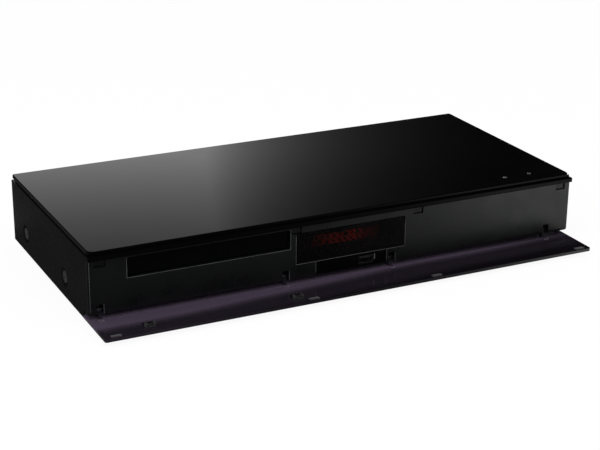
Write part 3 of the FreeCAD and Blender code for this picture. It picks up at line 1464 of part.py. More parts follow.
def make_fan_rotor():
    end = rear_inner - 2.0 - s.joint_gap
    start = fan_y + 0.5
    hub = rod("fan_hub", "Y", (s.fan_mid, start, fan_high), s.fan_hub, end - start)
    shaft = rod("fan_shaft", "Y", (s.fan_mid, start, fan_high), s.fan_shaft, rear_inner - 0.2 - start)
    blades = []
    depth = (end - start).number
    length = (s.fan_tip - s.fan_hub).number + 0.4
    for index in range(fan_blades):
        blade = Part.makeBox(depth * 0.98, 1.0, length, V(-depth * 0.49, -0.5, s.fan_hub.number - 0.4))
        blade.rotate(V(), V(0, 0, 1), 52)
        blade.rotate(V(), V(0, 1, 0), 360.0 / fan_blades * index)
        blades.append(blade)
    blades = blades[0].fuse(blades[1:])
    low = Part.makeCylinder(s.fan_tip.number, depth, V(0, -depth / 2, 0), V(0, 1, 0))
    vanes = solid_of("fan_vanes", blades.common(low))
    move(vanes, s.fan_mid, (start + end) / 2, fan_high)
    return part("fan_rotor", fuse("fan_rotor", hub, shaft, vanes))


# Drive frame and tray

def from_mid(low, high):
    """A pair of places in X, measured from the tray's middle."""
    return (s.tray_mid + low, s.tray_mid + high)


def make_drive_frame():
    body = new_body("drive_frame")
    y = (back(s.drive_front), back(s.drive_rear))
    wall = s.drive_wall
    floor = sketch(body, "XY", s.drive_low)
    rectangle(floor, from_mid(-drive_half, drive_half), y)
    pad(body, floor, s.drive_floor)
    rim = sketch(body, "XY", drive_deck)
    rectangle(rim, from_mid(-drive_half, drive_half), y)
    rectangle(rim, from_mid(-drive_inner, drive_inner), (y[0] + wall, y[1] - wall))
    pad(body, rim, s.drive_rim - drive_deck)
    sides = sketch(body, "XY", s.drive_rim)
    ledges = sketch(body, "XY", s.runner_low - s.joint_gap - s.drive_floor)
    tabs = sketch(body, "XY", s.tray_top + s.joint_gap)
    for side in (-1, 1):
        outer = s.tray_mid + drive_half * side
        rectangle(sides, sorted_pair(outer, outer - wall * side), y)
        inner = s.tray_mid + (tray_half - s.runner_wall) * side
        rectangle(ledges, sorted_pair(outer - wall * side, inner), (y[0] + wall, y[1] - wall))
        rectangle(tabs, sorted_pair(outer - wall * side, s.tray_mid + (tray_half - 3.0) * side),
                  (y[0], y[0] + 12.0))
    pad(body, sides, s.drive_high - s.drive_rim)
    pad(body, ledges, s.drive_floor)
    pad(body, tabs, s.drive_floor)
    opening = sketch(body, "XY", s.drive_low)
    round_rectangle(opening, from_mid(-s.traverse_half + 5.0, s.traverse_half - 5.0),
                    (back(s.traverse_front) + 8.0, back(s.traverse_rear) - 10.0), as_size(6.0))
    pocket(body, opening, s.drive_floor)
    add_pivots(body)
    add_gear_posts(body)
    add_motor_deck(body)
    add_slider_guides(body)
    return part("drive_frame", body)


def add_pivots(body):
    """Two upright brackets that hold the traverse's pivot stubs."""
    brackets = sketch(body, "XY", drive_deck)
    start = s.traverse_half + s.traverse_plate + s.joint_gap * 3
    reach_out = s.drive_wall * 2
    for side in (-1, 1):
        x = s.tray_mid + start * side
        rectangle(brackets, sorted_pair(x, x + reach_out * side), span(back(s.pivot_back), as_size(9.0)))
    pad(body, brackets, s.pivot_high + s.pivot_radius * 2 - drive_deck)
    bores = sketch(body, "YZ", s.tray_mid - start - reach_out)
    circle(bores, back(s.pivot_back), s.pivot_high, s.pivot_radius + s.bearing_gap)
    pocket(body, bores, (start + reach_out) * 2)


def add_gear_posts(body):
    """Stepped posts that the loading gears turn on."""
    shoulder = sketch(body, "XY", drive_deck)
    circle(shoulder, pulley_x, gear_y, s.post_shoulder)
    pad(body, shoulder, s.belt_low - s.pulley_flange - s.joint_gap - drive_deck)
    shoulder = sketch(body, "XY", drive_deck)
    circle(shoulder, pinion_x, gear_y, s.post_shoulder)
    pad(body, shoulder, s.wheel_low - s.joint_gap - drive_deck)
    post = sketch(body, "XY", drive_deck)
    circle(post, pulley_x, gear_y, s.gear_post)
    pad(body, post, s.wheel_low + s.wheel_thick + 1.0 - drive_deck)
    post = sketch(body, "XY", drive_deck)
    circle(post, pinion_x, gear_y, s.gear_post)
    pad(body, post, s.well_under - 0.5 - drive_deck)


def add_motor_deck(body):
    """A raised deck over a hole in the floor, which the loading motor hangs from."""
    reach_out = s.motor_radius + 2.0
    deck = sketch(body, "XY", drive_deck)
    x = span(motor_x, reach_out * 2)
    y = span(gear_y, reach_out * 2)
    rectangle(deck, x, y)
    pad(body, deck, s.motor_high + s.drive_floor - drive_deck)
    hollow = sketch(body, "XY", s.drive_low)
    circle(hollow, motor_x, gear_y, s.motor_radius + s.joint_gap)
    pocket(body, hollow, s.motor_high - s.drive_low)
    hole = sketch(body, "XY", s.motor_high)
    circle(hole, motor_x, gear_y, s.motor_shaft + s.joint_gap * 2)
    pocket(body, hole, s.drive_floor)


def add_slider_guides(body):
    """Low ribs that keep the cam slider upright."""
    ribs = sketch(body, "XY", drive_deck)
    gap = s.joint_gap
    start = back(s.slider_front)
    x = from_mid(-s.cam_side * 2.2, s.cam_side * 2.2)
    rectangle(ribs, x, (start - gap - s.window_gap * 8, start - gap))
    rectangle(ribs, x, (start + s.slider_wall + gap, start + s.slider_wall + gap + s.window_gap * 8))
    pad(body, ribs, s.drive_floor)


def make_drive_grommets():
    pieces = []
    for x, y in drive_mounts():
        ring = rod("grommet", "Z", (x, y, s.post_high), s.post_radius + 1.0, s.drive_low - s.post_high)
        hole = rod("grommet_hole", "Z", (x, y, s.post_high), s.grommet_hole, s.drive_low - s.post_high)
        pieces.append(cut("drive_grommet", ring, hole))
    return part("drive_grommets", group("drive_grommets", *pieces))


def make_tray():
    """The disc tray: a deck with two disc wells, runners at its sides and a rack under one side."""
    body = new_body("tray_shell")
    x = from_mid(-tray_half, tray_half)
    y = (tray_start, back(s.tray_rear))
    deck = sketch(body, "XY", s.tray_top - s.tray_wall)
    rectangle(deck, x, y)
    pad(body, deck, s.tray_wall)
    bowl = sketch(body, "XY", s.well_under)
    circle(bowl, s.tray_mid, disc_y, s.disc_well + s.tray_wall)
    pad(body, bowl, s.tray_top - s.tray_wall - s.well_under)
    runners = sketch(body, "XY", s.runner_low)
    for side in (-1, 1):
        edge = s.tray_mid + tray_half * side
        rectangle(runners, sorted_pair(edge, edge - s.runner_wall * side), y)
    pad(body, runners, s.tray_top - s.tray_wall - s.runner_low)
    ends = sketch(body, "XY", s.well_under)
    rectangle(ends, x, (y[0], y[0] + s.tray_wall))
    pad(body, ends, s.tray_top - s.tray_wall - s.well_under)
    ends = sketch(body, "XY", s.well_floor)
    rectangle(ends, x, (y[1] - s.tray_wall, y[1]))
    pad(body, ends, s.tray_top - s.tray_wall - s.well_floor)
    well = sketch(body, "XY", s.well_floor)
    circle(well, s.tray_mid, disc_y, s.disc_well)
    pocket(body, well, s.tray_top - s.well_floor)
    small = sketch(body, "XY", s.well_floor - s.small_deep)
    circle(small, s.tray_mid, disc_y, s.small_well)
    pocket(body, small, s.small_deep)
    hub = sketch(body, "XY", s.well_under)
    circle(hub, s.tray_mid, disc_y, s.hub_opening)
    pocket(body, hub, s.tray_top - s.well_under)
    lens = sketch(body, "XY", s.well_under)
    round_rectangle(lens, from_mid(-s.lens_opening, s.lens_opening),
                    (disc_y, back(s.lens_opening_rear)), as_size(6.0))
    pocket(body, lens, s.tray_top - s.well_under)
    relief = rod("rack_relief", "Z", (s.tray_mid, disc_y, (s.well_under + s.well_floor) / 2),
                 s.disc_well, s.tray_top - s.well_under)
    return part("tray", fuse("tray", body, cut("rack_bar", make_rack(), relief)))


def make_rack():
    """A straight bar whose teeth face the tray's middle, under the deck."""
    module = s.gear_module.number
    pitch = math.pi * module
    flat = (pitch / 2 - s.tooth_thin.number) / 2
    slope = math.tan(math.radians(20)) * module
    side = float(s.tray_mid + s.rack_side)
    root = side + 1.25 * module
    tip = side - 0.9 * module
    start = float(gear_y) - pitch * 3
    count = int(s.tray_travel.number / pitch) + 5
    points = []
    for tooth in range(count):
        middle = start + pitch * tooth
        points += [(root, middle - flat - slope * 1.25), (tip, middle - flat + slope * 0.9),
                   (tip, middle + flat - slope * 0.9), (root, middle + flat + slope * 1.25)]
    wide = root + s.rack_wall.number
    first, last = points[0][1] - pitch / 2, points[-1][1] + pitch / 2
    points = [(wide, first), (root, first)] + points + [(root, last), (wide, last)]
    low = float(s.tray_front_low)
    corners = [V(a, b, low) for a, b in points]
    face = Part.Face(Part.makePolygon(corners + corners[:1]))
    teeth = face.extrude(V(0, 0, float(s.well_under) - low))
    bar = Part.makeBox(s.rack_wall.number, last - first, float(s.tray_top - s.tray_wall) - low,
                       V(root, first, low))
    return solid_of("rack", teeth.fuse(bar).removeSplitter())


def make_tray_front():
    body = new_body("tray_front")
    start = back(s.tray_front_back)
    outline = sketch(body, "XZ", start)
    round_rectangle(outline, from_mid(-tray_half, tray_half), (s.tray_front_low, s.tray_front_high),
                    s.slot_corner - s.slot_gap)
    plate = pad(body, outline, s.tray_front_wall)
    doc.recompute()
    names = [f"Edge{n}" for n, e in enumerate(plate.Shape.Edges, 1)
             if e.BoundBox.YMax < float(start) + 0.01]
    bevel_edges(body, plate, names, s.tray_front_wall / 5)
    return part("tray_front", body)


# Gears and belt

def gear_outline(teeth, phase):
    """Points of a spur gear's outline: flanks on the involute, clear of the mating teeth."""
    module = s.gear_module.number
    pitch = teeth * module / 2
    base = pitch * math.cos(math.radians(20))
    root, tip = pitch - 1.25 * module, pitch + 0.9 * module
    half_tooth = (math.pi * module / 2 - s.tooth_thin.number) / 2 / pitch
    roll = math.tan(math.radians(20)) - math.radians(20)
    points = []
    for tooth in range(int(teeth)):
        middle = 2 * math.pi * tooth / teeth + phase
        flank = []
        for radius in (root, max(base, root + 0.2), pitch, tip):
            press = math.acos(min(1.0, base / radius))
            flank.append((radius, half_tooth + roll - (math.tan(press) - press)))
        for radius, angle in flank:
            points.append((radius, middle - angle))
        for radius, angle in flank[::-1]:
            points.append((radius, middle + angle))
    return [V(r * math.cos(a), r * math.sin(a), 0) for r, a in points]


def gear_solid(name, teeth, phase, thick):
    corners = gear_outline(teeth, phase)
    face = Part.Face(Part.makePolygon(corners + corners[:1]))
    return solid_of(name, face.extrude(V(0, 0, float(thick))))


def placed(made, x, y, z):
    move(made, x, y, z)
    return made


def make_tray_gear():
    """A wheel driven by the pulley's pinion, with the pinion above it that drives the rack."""
    teeth = s.pinion_teeth.number
    low = s.tray_front_low + 0.2
    pinion = placed(gear_solid("rack_pinion", teeth, math.pi / teeth, s.well_under - 0.6 - low),
                    pinion_x, gear_y, low)
    wheel = placed(gear_solid("wheel", s.wheel_teeth.number, 0.0, s.wheel_thick),
                   pinion_x, gear_y, s.wheel_low)
    high = s.wheel_low + s.wheel_thick
    neck = rod("gear_neck", "Z", (pinion_x, gear_y, high), pitch_pinion - 2.0, low - high)
    bore = rod("gear_bore", "Z", (pinion_x, gear_y, s.wheel_low - 1.0), s.gear_post + s.bearing_gap,
               s.well_under - s.wheel_low + 1.0)
    return part("tray_gear", cut("tray_gear", fuse("tray_gear_solid", pinion, wheel, neck), bore))


def pulley_profile(name, axis_x, axis_y, groove, rim):
    """A grooved pulley that the belt runs in, with flanges above and below."""
    body = new_body(name)
    outline = sketch(body, "XZ", 0)
    low, thick = s.belt_low, s.belt_thick
    edge, flange = s.joint_gap, s.pulley_flange
    polygon(outline, [(0, low - flange), (rim, low - flange), (rim, low - edge), (groove, low - edge),
                      (groove, low + thick + edge), (rim, low + thick + edge),
                      (rim, low + thick + flange), (0, low + thick + flange)])
    revolve(body, outline)
    move(body, axis_x, axis_y, 0)
    return body


def make_pulley_gear():
    pulley = pulley_profile("pulley_wheel", pulley_x, gear_y, s.pulley_groove, s.pulley_rim)
    teeth = s.drive_teeth.number
    top = s.belt_low + s.belt_thick + s.pulley_flange
    pinion = placed(gear_solid("pulley_pinion", teeth, math.pi / teeth, s.wheel_low + s.wheel_thick - top),
                    pulley_x, gear_y, top)
    bore = rod("pulley_bore", "Z", (pulley_x, gear_y, s.belt_low - 2.0), s.gear_post + s.bearing_gap,
               s.wheel_thick * 4)
    return part("pulley_gear", cut("pulley_gear", fuse("pulley_gear_solid", pulley, pinion), bore))


def make_motor_pulley():
    pulley = pulley_profile("motor_pulley_body", motor_x, gear_y, s.small_groove, s.small_rim)
    bore = rod("motor_pulley_bore", "Z", (motor_x, gear_y, s.belt_low - 2.0),
               s.motor_shaft + s.press_gap, as_size(6.0))
    return part("motor_pulley", cut("motor_pulley", pulley, bore))


def make_loading_motor():
    can = rod("motor_can", "Z", (motor_x, gear_y, s.motor_low), s.motor_radius, s.motor_high - s.motor_low)
    bore = rod("motor_bore", "Z", (motor_x, gear_y, s.motor_high - s.motor_bush),
               s.motor_shaft + s.bearing_gap, s.motor_bush)
    return part("loading_motor", cut("loading_motor", can, bore))


def make_motor_shaft():
    """The loading motor's shaft, which carries its pulley."""
    low = s.motor_high - s.motor_bush + s.joint_gap
    shaft = rod("motor_shaft", "Z", (motor_x, gear_y, low), s.motor_shaft,
                s.belt_low + s.belt_thick + s.pulley_flange * 2 - low)
    return part("motor_shaft", shaft)


def belt_loop(radius_a, radius_b, distance):
    """A wire round two circles on one line: two arcs and their two common tangents."""
    lean = math.asin((radius_b - radius_a) / distance)
    touch = math.pi / 2 + lean
    ends = {}
    for key, radius, middle in (("a", radius_a, 0.0), ("b", radius_b, distance)):
        for sign in (-1, 1):
            ends[key, sign] = V(middle + radius * math.cos(touch), sign * radius * math.sin(touch), 0)
    arc_a = Part.Arc(ends["a", 1], V(-radius_a, 0, 0), ends["a", -1]).toShape()
    arc_b = Part.Arc(ends["b", -1], V(distance + radius_b, 0, 0), ends["b", 1]).toShape()
    low = Part.makeLine(ends["a", -1], ends["b", -1])
    high = Part.makeLine(ends["b", 1], ends["a", 1])
    return Part.Wire([arc_a, low, arc_b, high])


def make_loading_belt():
    distance = (pulley_x - motor_x).number
    gap = s.joint_gap.number
    thick = s.belt_thick.number
    small, large = s.small_groove.number + gap, s.pulley_groove.number + gap
    outer = Part.Face(belt_loop(small + thick, large + thick, distance))
    inner = Part.Face(belt_loop(small, large, distance))
    loop = solid_of("loading_belt", outer.cut(inner).extrude(V(0, 0, thick)))
    return part("loading_belt", placed(loop, motor_x, gear_y, s.belt_low))


# Clamp, traverse and pickup

def make_clamp_bridge():
    """A sheet across the drive that the disc clamp hangs in."""
    body = new_body("clamp_bridge")
    sheet = s.cover_sheet
    y = (back(s.bridge_front), back(s.bridge_rear))
    outline = sketch(body, "XY", s.drive_high)
    rectangle(outline, from_mid(-drive_half, drive_half), y)
    circle(outline, s.tray_mid, disc_y, s.clamp_hole)
    pad(body, outline, sheet)
    folds = sketch(body, "XY", s.drive_high)
    inner = drive_inner - s.joint_gap
    rectangle(folds, from_mid(-inner, inner), (y[0], y[0] + sheet))
    rectangle(folds, from_mid(-inner, inner), (y[1] - sheet, y[1]))
    pad(body, folds, s.bridge_fold, backwards=True)
    return part("clamp_bridge", body)


def turned(name, x, y, profile):
    """A turned piece: its profile is a run of radius and height."""
    body = new_body(name)
    outline = sketch(body, "XZ", 0)
    polygon(outline, profile)
    revolve(body, outline)
    move(body, x, y, 0)
    return body


def make_disc_clamp():
    low = s.clamp_low
    bridge = s.drive_high + s.cover_sheet
    profile = [(0, low + 2.2), (s.cone_radius + 0.6, low + 2.2), (s.cone_radius + 0.6, low),
               (s.clamp_disc - 1.0, low), (s.clamp_disc, low + 1.0), (s.clamp_disc, low + 3.0),
               (s.clamp_neck, low + 3.0), (s.clamp_neck, bridge + s.joint_gap),
               (s.clamp_flange, bridge + s.joint_gap), (s.clamp_flange, bridge + s.joint_gap + 1.3),
               (0, bridge + s.joint_gap + 1.3)]
    return part("disc_clamp", turned("disc_clamp", s.tray_mid, disc_y, profile))


def make_traverse_frame():
    body = new_body("traverse_frame")
    x = from_mid(-s.traverse_half, s.traverse_half)
    y = (back(s.traverse_front), back(s.traverse_rear))
    wall = s.traverse_plate
    plate = sketch(body, "XY", s.traverse_low)
    rectangle(plate, x, y)
    pad(body, plate, wall)
    rim = sketch(body, "XY", plate_top)
    rectangle(rim, x, y)
    rectangle(rim, (x[0] + wall, x[1] - wall), (y[0] + wall, y[1] - wall))
    pad(body, rim, s.traverse_rim)
    window = sketch(body, "XY", s.traverse_low)
    inner = s.rod_side - s.rod_radius * 3
    rectangle(window, from_mid(-inner, inner), (back(s.rod_front) + 8.0, back(s.rod_rear) - 3.0))
    pocket(body, window, wall)
    holders = sketch(body, "XY", plate_top)
    for side in both(s.rod_side):
        rectangle(holders, span(s.tray_mid + side, s.rod_radius * 4),
                  (back(s.rod_front), back(s.rod_front) + wall * 1.5))
        rectangle(holders, span(s.tray_mid + side, s.rod_radius * 4),
                  (back(s.rod_rear) - wall * 1.5, back(s.rod_rear)))
    pad(body, holders, s.rod_high + s.rod_radius * 1.8 - plate_top)
    ends = sketch(body, "XY", plate_top)
    for place in screw_ends:
        rectangle(ends, span(screw_x, s.sled_motor_radius * 2), place)
    pad(body, ends, s.rod_high + s.rod_radius * 2 - plate_top)
    bores = sketch(body, "XZ", screw_ends[0][0])
    for side in both(s.rod_side):
        circle(bores, s.tray_mid + side, s.rod_high, s.rod_radius + s.press_gap)
    circle(bores, screw_x, s.rod_high, s.rod_radius + s.bearing_gap)
    pocket(body, bores, screw_ends[1][1] - screw_ends[0][0])
    stubs = sketch(body, "YZ", x[0])
    circle(stubs, back(s.pivot_back), s.pivot_high, s.pivot_radius)
    pad(body, stubs, s.drive_wall * 2 + wall, backwards=True)
    stubs = sketch(body, "YZ", x[1])
    circle(stubs, back(s.pivot_back), s.pivot_high, s.pivot_radius)
    pad(body, stubs, s.drive_wall * 2 + wall)
    pins = sketch(body, "XZ", y[0])
    for side in both(s.cam_side):
        circle(pins, s.tray_mid + side, s.cam_high, s.cam_pin)
    pad(body, pins, s.traverse_front - s.slider_front - s.joint_gap, backwards=True)
    return part("traverse_frame", lower(body))


def make_spindle_motor():
    can = rod("spindle_can", "Z", (s.tray_mid, disc_y, plate_top), s.spindle_can, s.spindle_high - plate_top)
    bore = rod("spindle_bore", "Z", (s.tray_mid, disc_y, plate_top), s.spindle_shaft + s.bearing_gap,
               s.spindle_high - plate_top)
    return part("spindle_motor", lower(cut("spindle_motor", can, bore)))


def make_turntable():
    low = s.spindle_high + s.joint_gap
    seat = s.table_seat
    profile = [(0, plate_top + 0.5), (s.spindle_shaft, plate_top + 0.5), (s.spindle_shaft, low),
               (s.table_radius - 0.8, low), (s.table_radius - 0.8, seat - 1.6),
               (s.table_radius, seat - 1.6), (s.table_radius, seat), (s.cone_radius, seat),
               (s.cone_radius - 0.8, seat + s.cone_rise), (0, seat + s.cone_rise)]
    body = turned("turntable_body", s.tray_mid, disc_y, profile)
    return part("turntable", lower(group("turntable", body)))


def make_guide_rods():
    pieces = [rod("guide_rod", "Y", (s.tray_mid + side, back(s.rod_front), s.rod_high), s.rod_radius,
                  s.rod_rear - s.rod_front) for side in both(s.rod_side)]
    return part("guide_rods", lower(group("guide_rods", *pieces)))


def make_lead_screw():
    start = screw_ends[0][0] + s.joint_gap
    screw = rod("lead_screw_rod", "Y", (screw_x, start, s.rod_high), s.rod_radius,
                screw_ends[1][1] - start)
    return part("lead_screw", lower(group("lead_screw", screw)))


def make_sled_motor():
    start = screw_ends[0][0] - s.sled_motor_long
    can = rod("sled_motor_can", "Y", (screw_x, start, s.rod_high), s.sled_motor_radius,
              s.sled_motor_long)
    return part("sled_motor", lower(group("sled_motor", can)))


def make_pickup_sled():
    """The pickup's body, which rides on the rods and is driven by the screw at one side."""
    body = new_body("pickup_body")
    z = (s.sled_low, s.sled_high)
    y = (back(s.sled_front), back(s.sled_rear))
    outline = sketch(body, "XY", z[0])
    x = s.rod_side + s.rod_radius * 2.2
    rectangle(outline, from_mid(-x, x), y)
    pad(body, outline, z[1] - z[0])
    arm = sketch(body, "XY", z[0])
    rectangle(arm, (screw_x - s.rod_radius * 2.4, s.tray_mid - x), (y[0] + 8.0, y[1] - 8.0))
    pad(body, arm, z[1] - z[0])
    bores = sketch(body, "XZ", y[0])
    for side in both(s.rod_side):
        circle(bores, s.tray_mid + side, s.rod_high, s.rod_radius + s.bearing_gap)
    circle(bores, screw_x, s.rod_high, s.rod_radius + s.bearing_gap * 2)
    pocket(body, bores, y[1] - y[0])
    return part("pickup_sled", lower(group("pickup_sled", body)))


def make_pickup_lens():
    lens = rod("lens_barrel", "Z", (s.tray_mid, back(s.lens_back), s.sled_high), s.lens_radius,
               s.lens_high - s.sled_high)
    return part("pickup_lens", lower(group("pickup_lens", lens)))


def make_cam_slider():
    """An upright plate with two sloping slots that lift the traverse's front as it slides."""
    start = back(s.slider_front)
    low = drive_deck + s.joint_gap
    reach_in = s.pivot_back - s.slider_front - s.slider_wall / 2
    drop = reach_in * sine(s.lowered) + (s.cam_high - s.pivot_high) * (1.0 - cosine(s.lowered))
    radius = (s.cam_pin + s.cam_gap).number
    z_low, z_high = (s.cam_high - drop).number, s.cam_high.number
    travel = s.slider_travel.number
    plate = block("slider_plate", from_mid(-s.cam_side - s.slider_travel - 4.0, s.cam_side + 4.0),
                  (start, start + s.slider_wall), (low, s.slider_high))
    slots = []
    for side in both(s.cam_side):
        x = (s.tray_mid + side).number
        ends = [V(x, 0, z_low), V(x - travel, 0, z_high)]
        along = ends[1] - ends[0]
        across = V(along.z, 0, -along.x).normalize() * radius
        corners = [ends[0] + across, ends[1] + across, ends[1] - across, ends[0] - across]
        face = Part.Face(Part.makePolygon(corners + corners[:1]))
        shape = face.extrude(V(0, s.slider_wall.number + 2, 0))
        for end in ends:
            shape = shape.fuse(Part.makeCylinder(radius, s.slider_wall.number + 2, end, V(0, 1, 0)))
        slots.append(placed(solid_of("cam_slot", shape.removeSplitter()), 0, start - 1.0, 0))
    return part("cam_slider", cut("cam_slider", plate, *slots))


# Flat cables

def ribbon(name, points, bend, thick, width):
    """A flat cable along a bent path in one upright plane, centred on the path."""
    path = []
    start = points[0]
    for index in range(1, len(points) - 1):
        corner, following = points[index], points[index + 1]
        come = (corner - points[index - 1]).normalize()
        go = (following - corner).normalize()
        turn = math.acos(max(-1.0, min(1.0, come.dot(go))))
        setback = bend * math.tan(turn / 2)
        first, last = corner - come * setback, corner + go * setback
        middle = (go - come).normalize() * (bend / math.cos(turn / 2) - bend)
        path.append(Part.makeLine(start, first))
        path.append(Part.Arc(first, corner + middle, last).toShape())
        start = last
    path.append(Part.makeLine(start, points[-1]))
    along = (points[1] - points[0]).normalize()
    side = along.cross((points[2] - points[1]).normalize()).normalize()
    up = along.cross(side)
    a, b = side * (width / 2), up * (thick / 2)
    corners = [points[0] + a + b, points[0] - a + b, points[0] - a - b, points[0] + a - b]
    profile = Part.makePolygon(corners + corners[:1])
    return solid_of(name, Part.Wire(path).makePipeShell([profile], True, False))


def flat_cable(label, points, thick, width):
    corners = [V(*[float(place) for place in point]) for point in points]
    return part(label, ribbon(label, corners, float(s.ribbon_bend), float(thick), float(width)))


def make_cables():
    """Each cable's path runs from one board to the other, with its bends in one upright plane."""
    y = board_front + s.board_thick
    rise = front_board_z[0] + s.cable_rise
    end = back(s.main_front) + s.post_inset
    x = s.main_right - s.front_cable_side
    flat_cable("front_cable", [(x, y, rise), (x, end, rise), (x, end, board_top)],
               s.ribbon_thick, s.front_ribbon)
    touch_end = touch_y[1] - s.touch_cable_end
    low = front_board_z[1] - s.touch_cable_end
    x = touch_x[0] + s.cable_rise
    high = s.body_height - s.top_skin - s.touch_thick
    flat_cable("touch_cable", [(x, touch_end, high), (x, touch_end, low), (x, y, low)],
               s.ribbon_thick, s.touch_ribbon)
    y = back(s.main_front) + s.power_cable_back
    left, right = s.main_right - s.power_cable_side, s.power_left + s.power_cable_side
    high = board_top + s.power_cable_rise
    flat_cable("power_cable", [(left, y, board_top), (left, y, high), (right, y, high), (right, y, board_top)],
               s.power_ribbon_thick, s.power_ribbon)
    y = back(s.main_front) + s.drive_cable_back
    under = (floor_top + s.drive_low) / 2
    start, end = s.main_left + s.drive_cable_side, drive_edge - s.drive_cable_under
    drop = (s.main_left + drive_edge) / 2
    high = board_top + s.cable_rise
    flat_cable("drive_cable", [(start, y, board_top), (start, y, high), (drop, y, high), (drop, y, under),
                               (end, y, under), (end, y, s.drive_low)], s.ribbon_thick, s.drive_ribbon)


def check_parts():
    """Stops when an object failed, a cut removed nothing, or a shape isn't sound."""
    for thing in doc.Objects:
        if "Invalid" in thing.State or "Error" in thing.State:
            raise RuntimeError(f"{thing.Label} failed: {thing.State}")
        if thing.TypeId == "PartDesign::Pocket":
            before = thing.BaseFeature.Shape.Volume
            if thing.Shape.Volume > before - 0.01:
                raise RuntimeError(f"{thing.Label} cuts nothing")
    for made in parts:
        if made.Shape.isNull() or not made.Shape.isValid() or not made.Shape.Solids:
            raise RuntimeError(f"{made.Label} isn't a sound solid")


def write_parts():
    os.makedirs("parts", exist_ok=True)
    for made in parts:
        made.Shape.exportStep(f"parts/{made.Label}.step")
        print(f"{made.Label}: {len(made.Shape.Solids)} solid(s), {made.Shape.Volume / 1000:.2f} cm3")


for make in (make_top_plate, make_front_lip, make_case_cover, make_side_screws, make_rear_screws,
             make_bottom_chassis, make_feet, make_rear_panel, make_front_panel, make_display_window,
             make_flap, make_flap_arms, make_hinge_pins, make_flap_stops, make_flap_pads,
             make_flap_pushers, make_touch_board, make_front_board, make_display_module,
             make_ir_receiver, make_usb, make_main_board, make_chips, make_heatsink,
             make_power_board, make_transformer, make_capacitors, make_choke, make_rear_sockets,
             make_fan_frame, make_fan_rotor, make_drive_frame, make_drive_grommets, make_tray,
             make_tray_front, make_tray_gear, make_pulley_gear, make_motor_pulley,
             make_loading_motor, make_motor_shaft, make_loading_belt, make_clamp_bridge,
             make_disc_clamp, make_traverse_frame, make_spindle_motor, make_turntable,
             make_guide_rods, make_lead_screw, make_sled_motor, make_pickup_sled,
             make_pickup_lens, make_cam_slider, make_cables):
    make()
doc.recompute()
check_parts()
write_parts()
print(len(parts), "sub-parts")
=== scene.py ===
"""Looks for a disc player with a drop-down front flap: finishes for its solids, and its finest pieces."""

import json
import math
import random

import bmesh
import bpy
from mathutils import Matrix, Vector


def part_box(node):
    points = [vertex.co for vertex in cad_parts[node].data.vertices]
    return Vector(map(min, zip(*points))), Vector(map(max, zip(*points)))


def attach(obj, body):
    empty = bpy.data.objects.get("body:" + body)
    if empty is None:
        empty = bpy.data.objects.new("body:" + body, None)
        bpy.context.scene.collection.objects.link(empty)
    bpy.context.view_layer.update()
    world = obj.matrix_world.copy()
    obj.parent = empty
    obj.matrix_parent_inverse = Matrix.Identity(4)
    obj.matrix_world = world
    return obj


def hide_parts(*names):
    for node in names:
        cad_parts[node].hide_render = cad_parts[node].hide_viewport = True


bl_info = {
    "name": "Disc player looks",
    "version": (1, 0, 0),
    "blender": (4, 5, 0),
    "location": "3D View > Sidebar > Disc player",
    "description": "Finishes and fine pieces for a disc player with a drop-down front flap",
    "category": "Object",
}

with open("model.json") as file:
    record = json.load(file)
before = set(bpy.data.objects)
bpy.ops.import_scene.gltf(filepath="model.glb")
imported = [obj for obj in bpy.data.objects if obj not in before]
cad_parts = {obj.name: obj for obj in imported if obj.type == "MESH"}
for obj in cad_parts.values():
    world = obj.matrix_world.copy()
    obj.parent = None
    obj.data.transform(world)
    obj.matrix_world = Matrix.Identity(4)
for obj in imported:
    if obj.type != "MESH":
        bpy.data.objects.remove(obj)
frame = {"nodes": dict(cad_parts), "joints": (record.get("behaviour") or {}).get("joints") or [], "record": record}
nodes = frame["nodes"]
joints = {joint["name"]: joint for joint in frame["joints"]}
MM = 0.001

# Sizes and places in millimetres that the frame's boxes don't give

FOOT_RADIUS = 10.0
REAR_SCREWS = (-185.0, -41.25, 82.5, 185.0)
INNER_HINGES = (-52.5, 43.0)
ARM_WIDTH = 3.6
HINGE_SLOT_HALF = 2.9
HINGE_SLOT_LOW, HINGE_SLOT_HIGH = 10.6, 18.6
RECESS_START, RECESS_END = 17.4, 81.2
RECESS_DEPTH = 1.4
OPEN_KEY, POWER_KEY = 158.0, 182.4

# The camera's place, the point that it looks at, in metres, and its roll in degrees

CAMERA_PLACE = (-0.53904, -1.09011, 0.48354)
CAMERA_AIM = (-0.22281, -0.44944, 0.21232)
CAMERA_ROLL = 0.48


def box_of(node):
    """A node's lowest and highest corners in millimetres."""
    low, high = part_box(node)
    return low / MM, high / MM


def front_of(node):
    """A node's left, right, low and high edges in millimetres, as seen from the front."""
    low, high = box_of(node)
    return low.x, high.x, low.z, high.z


# Finishes


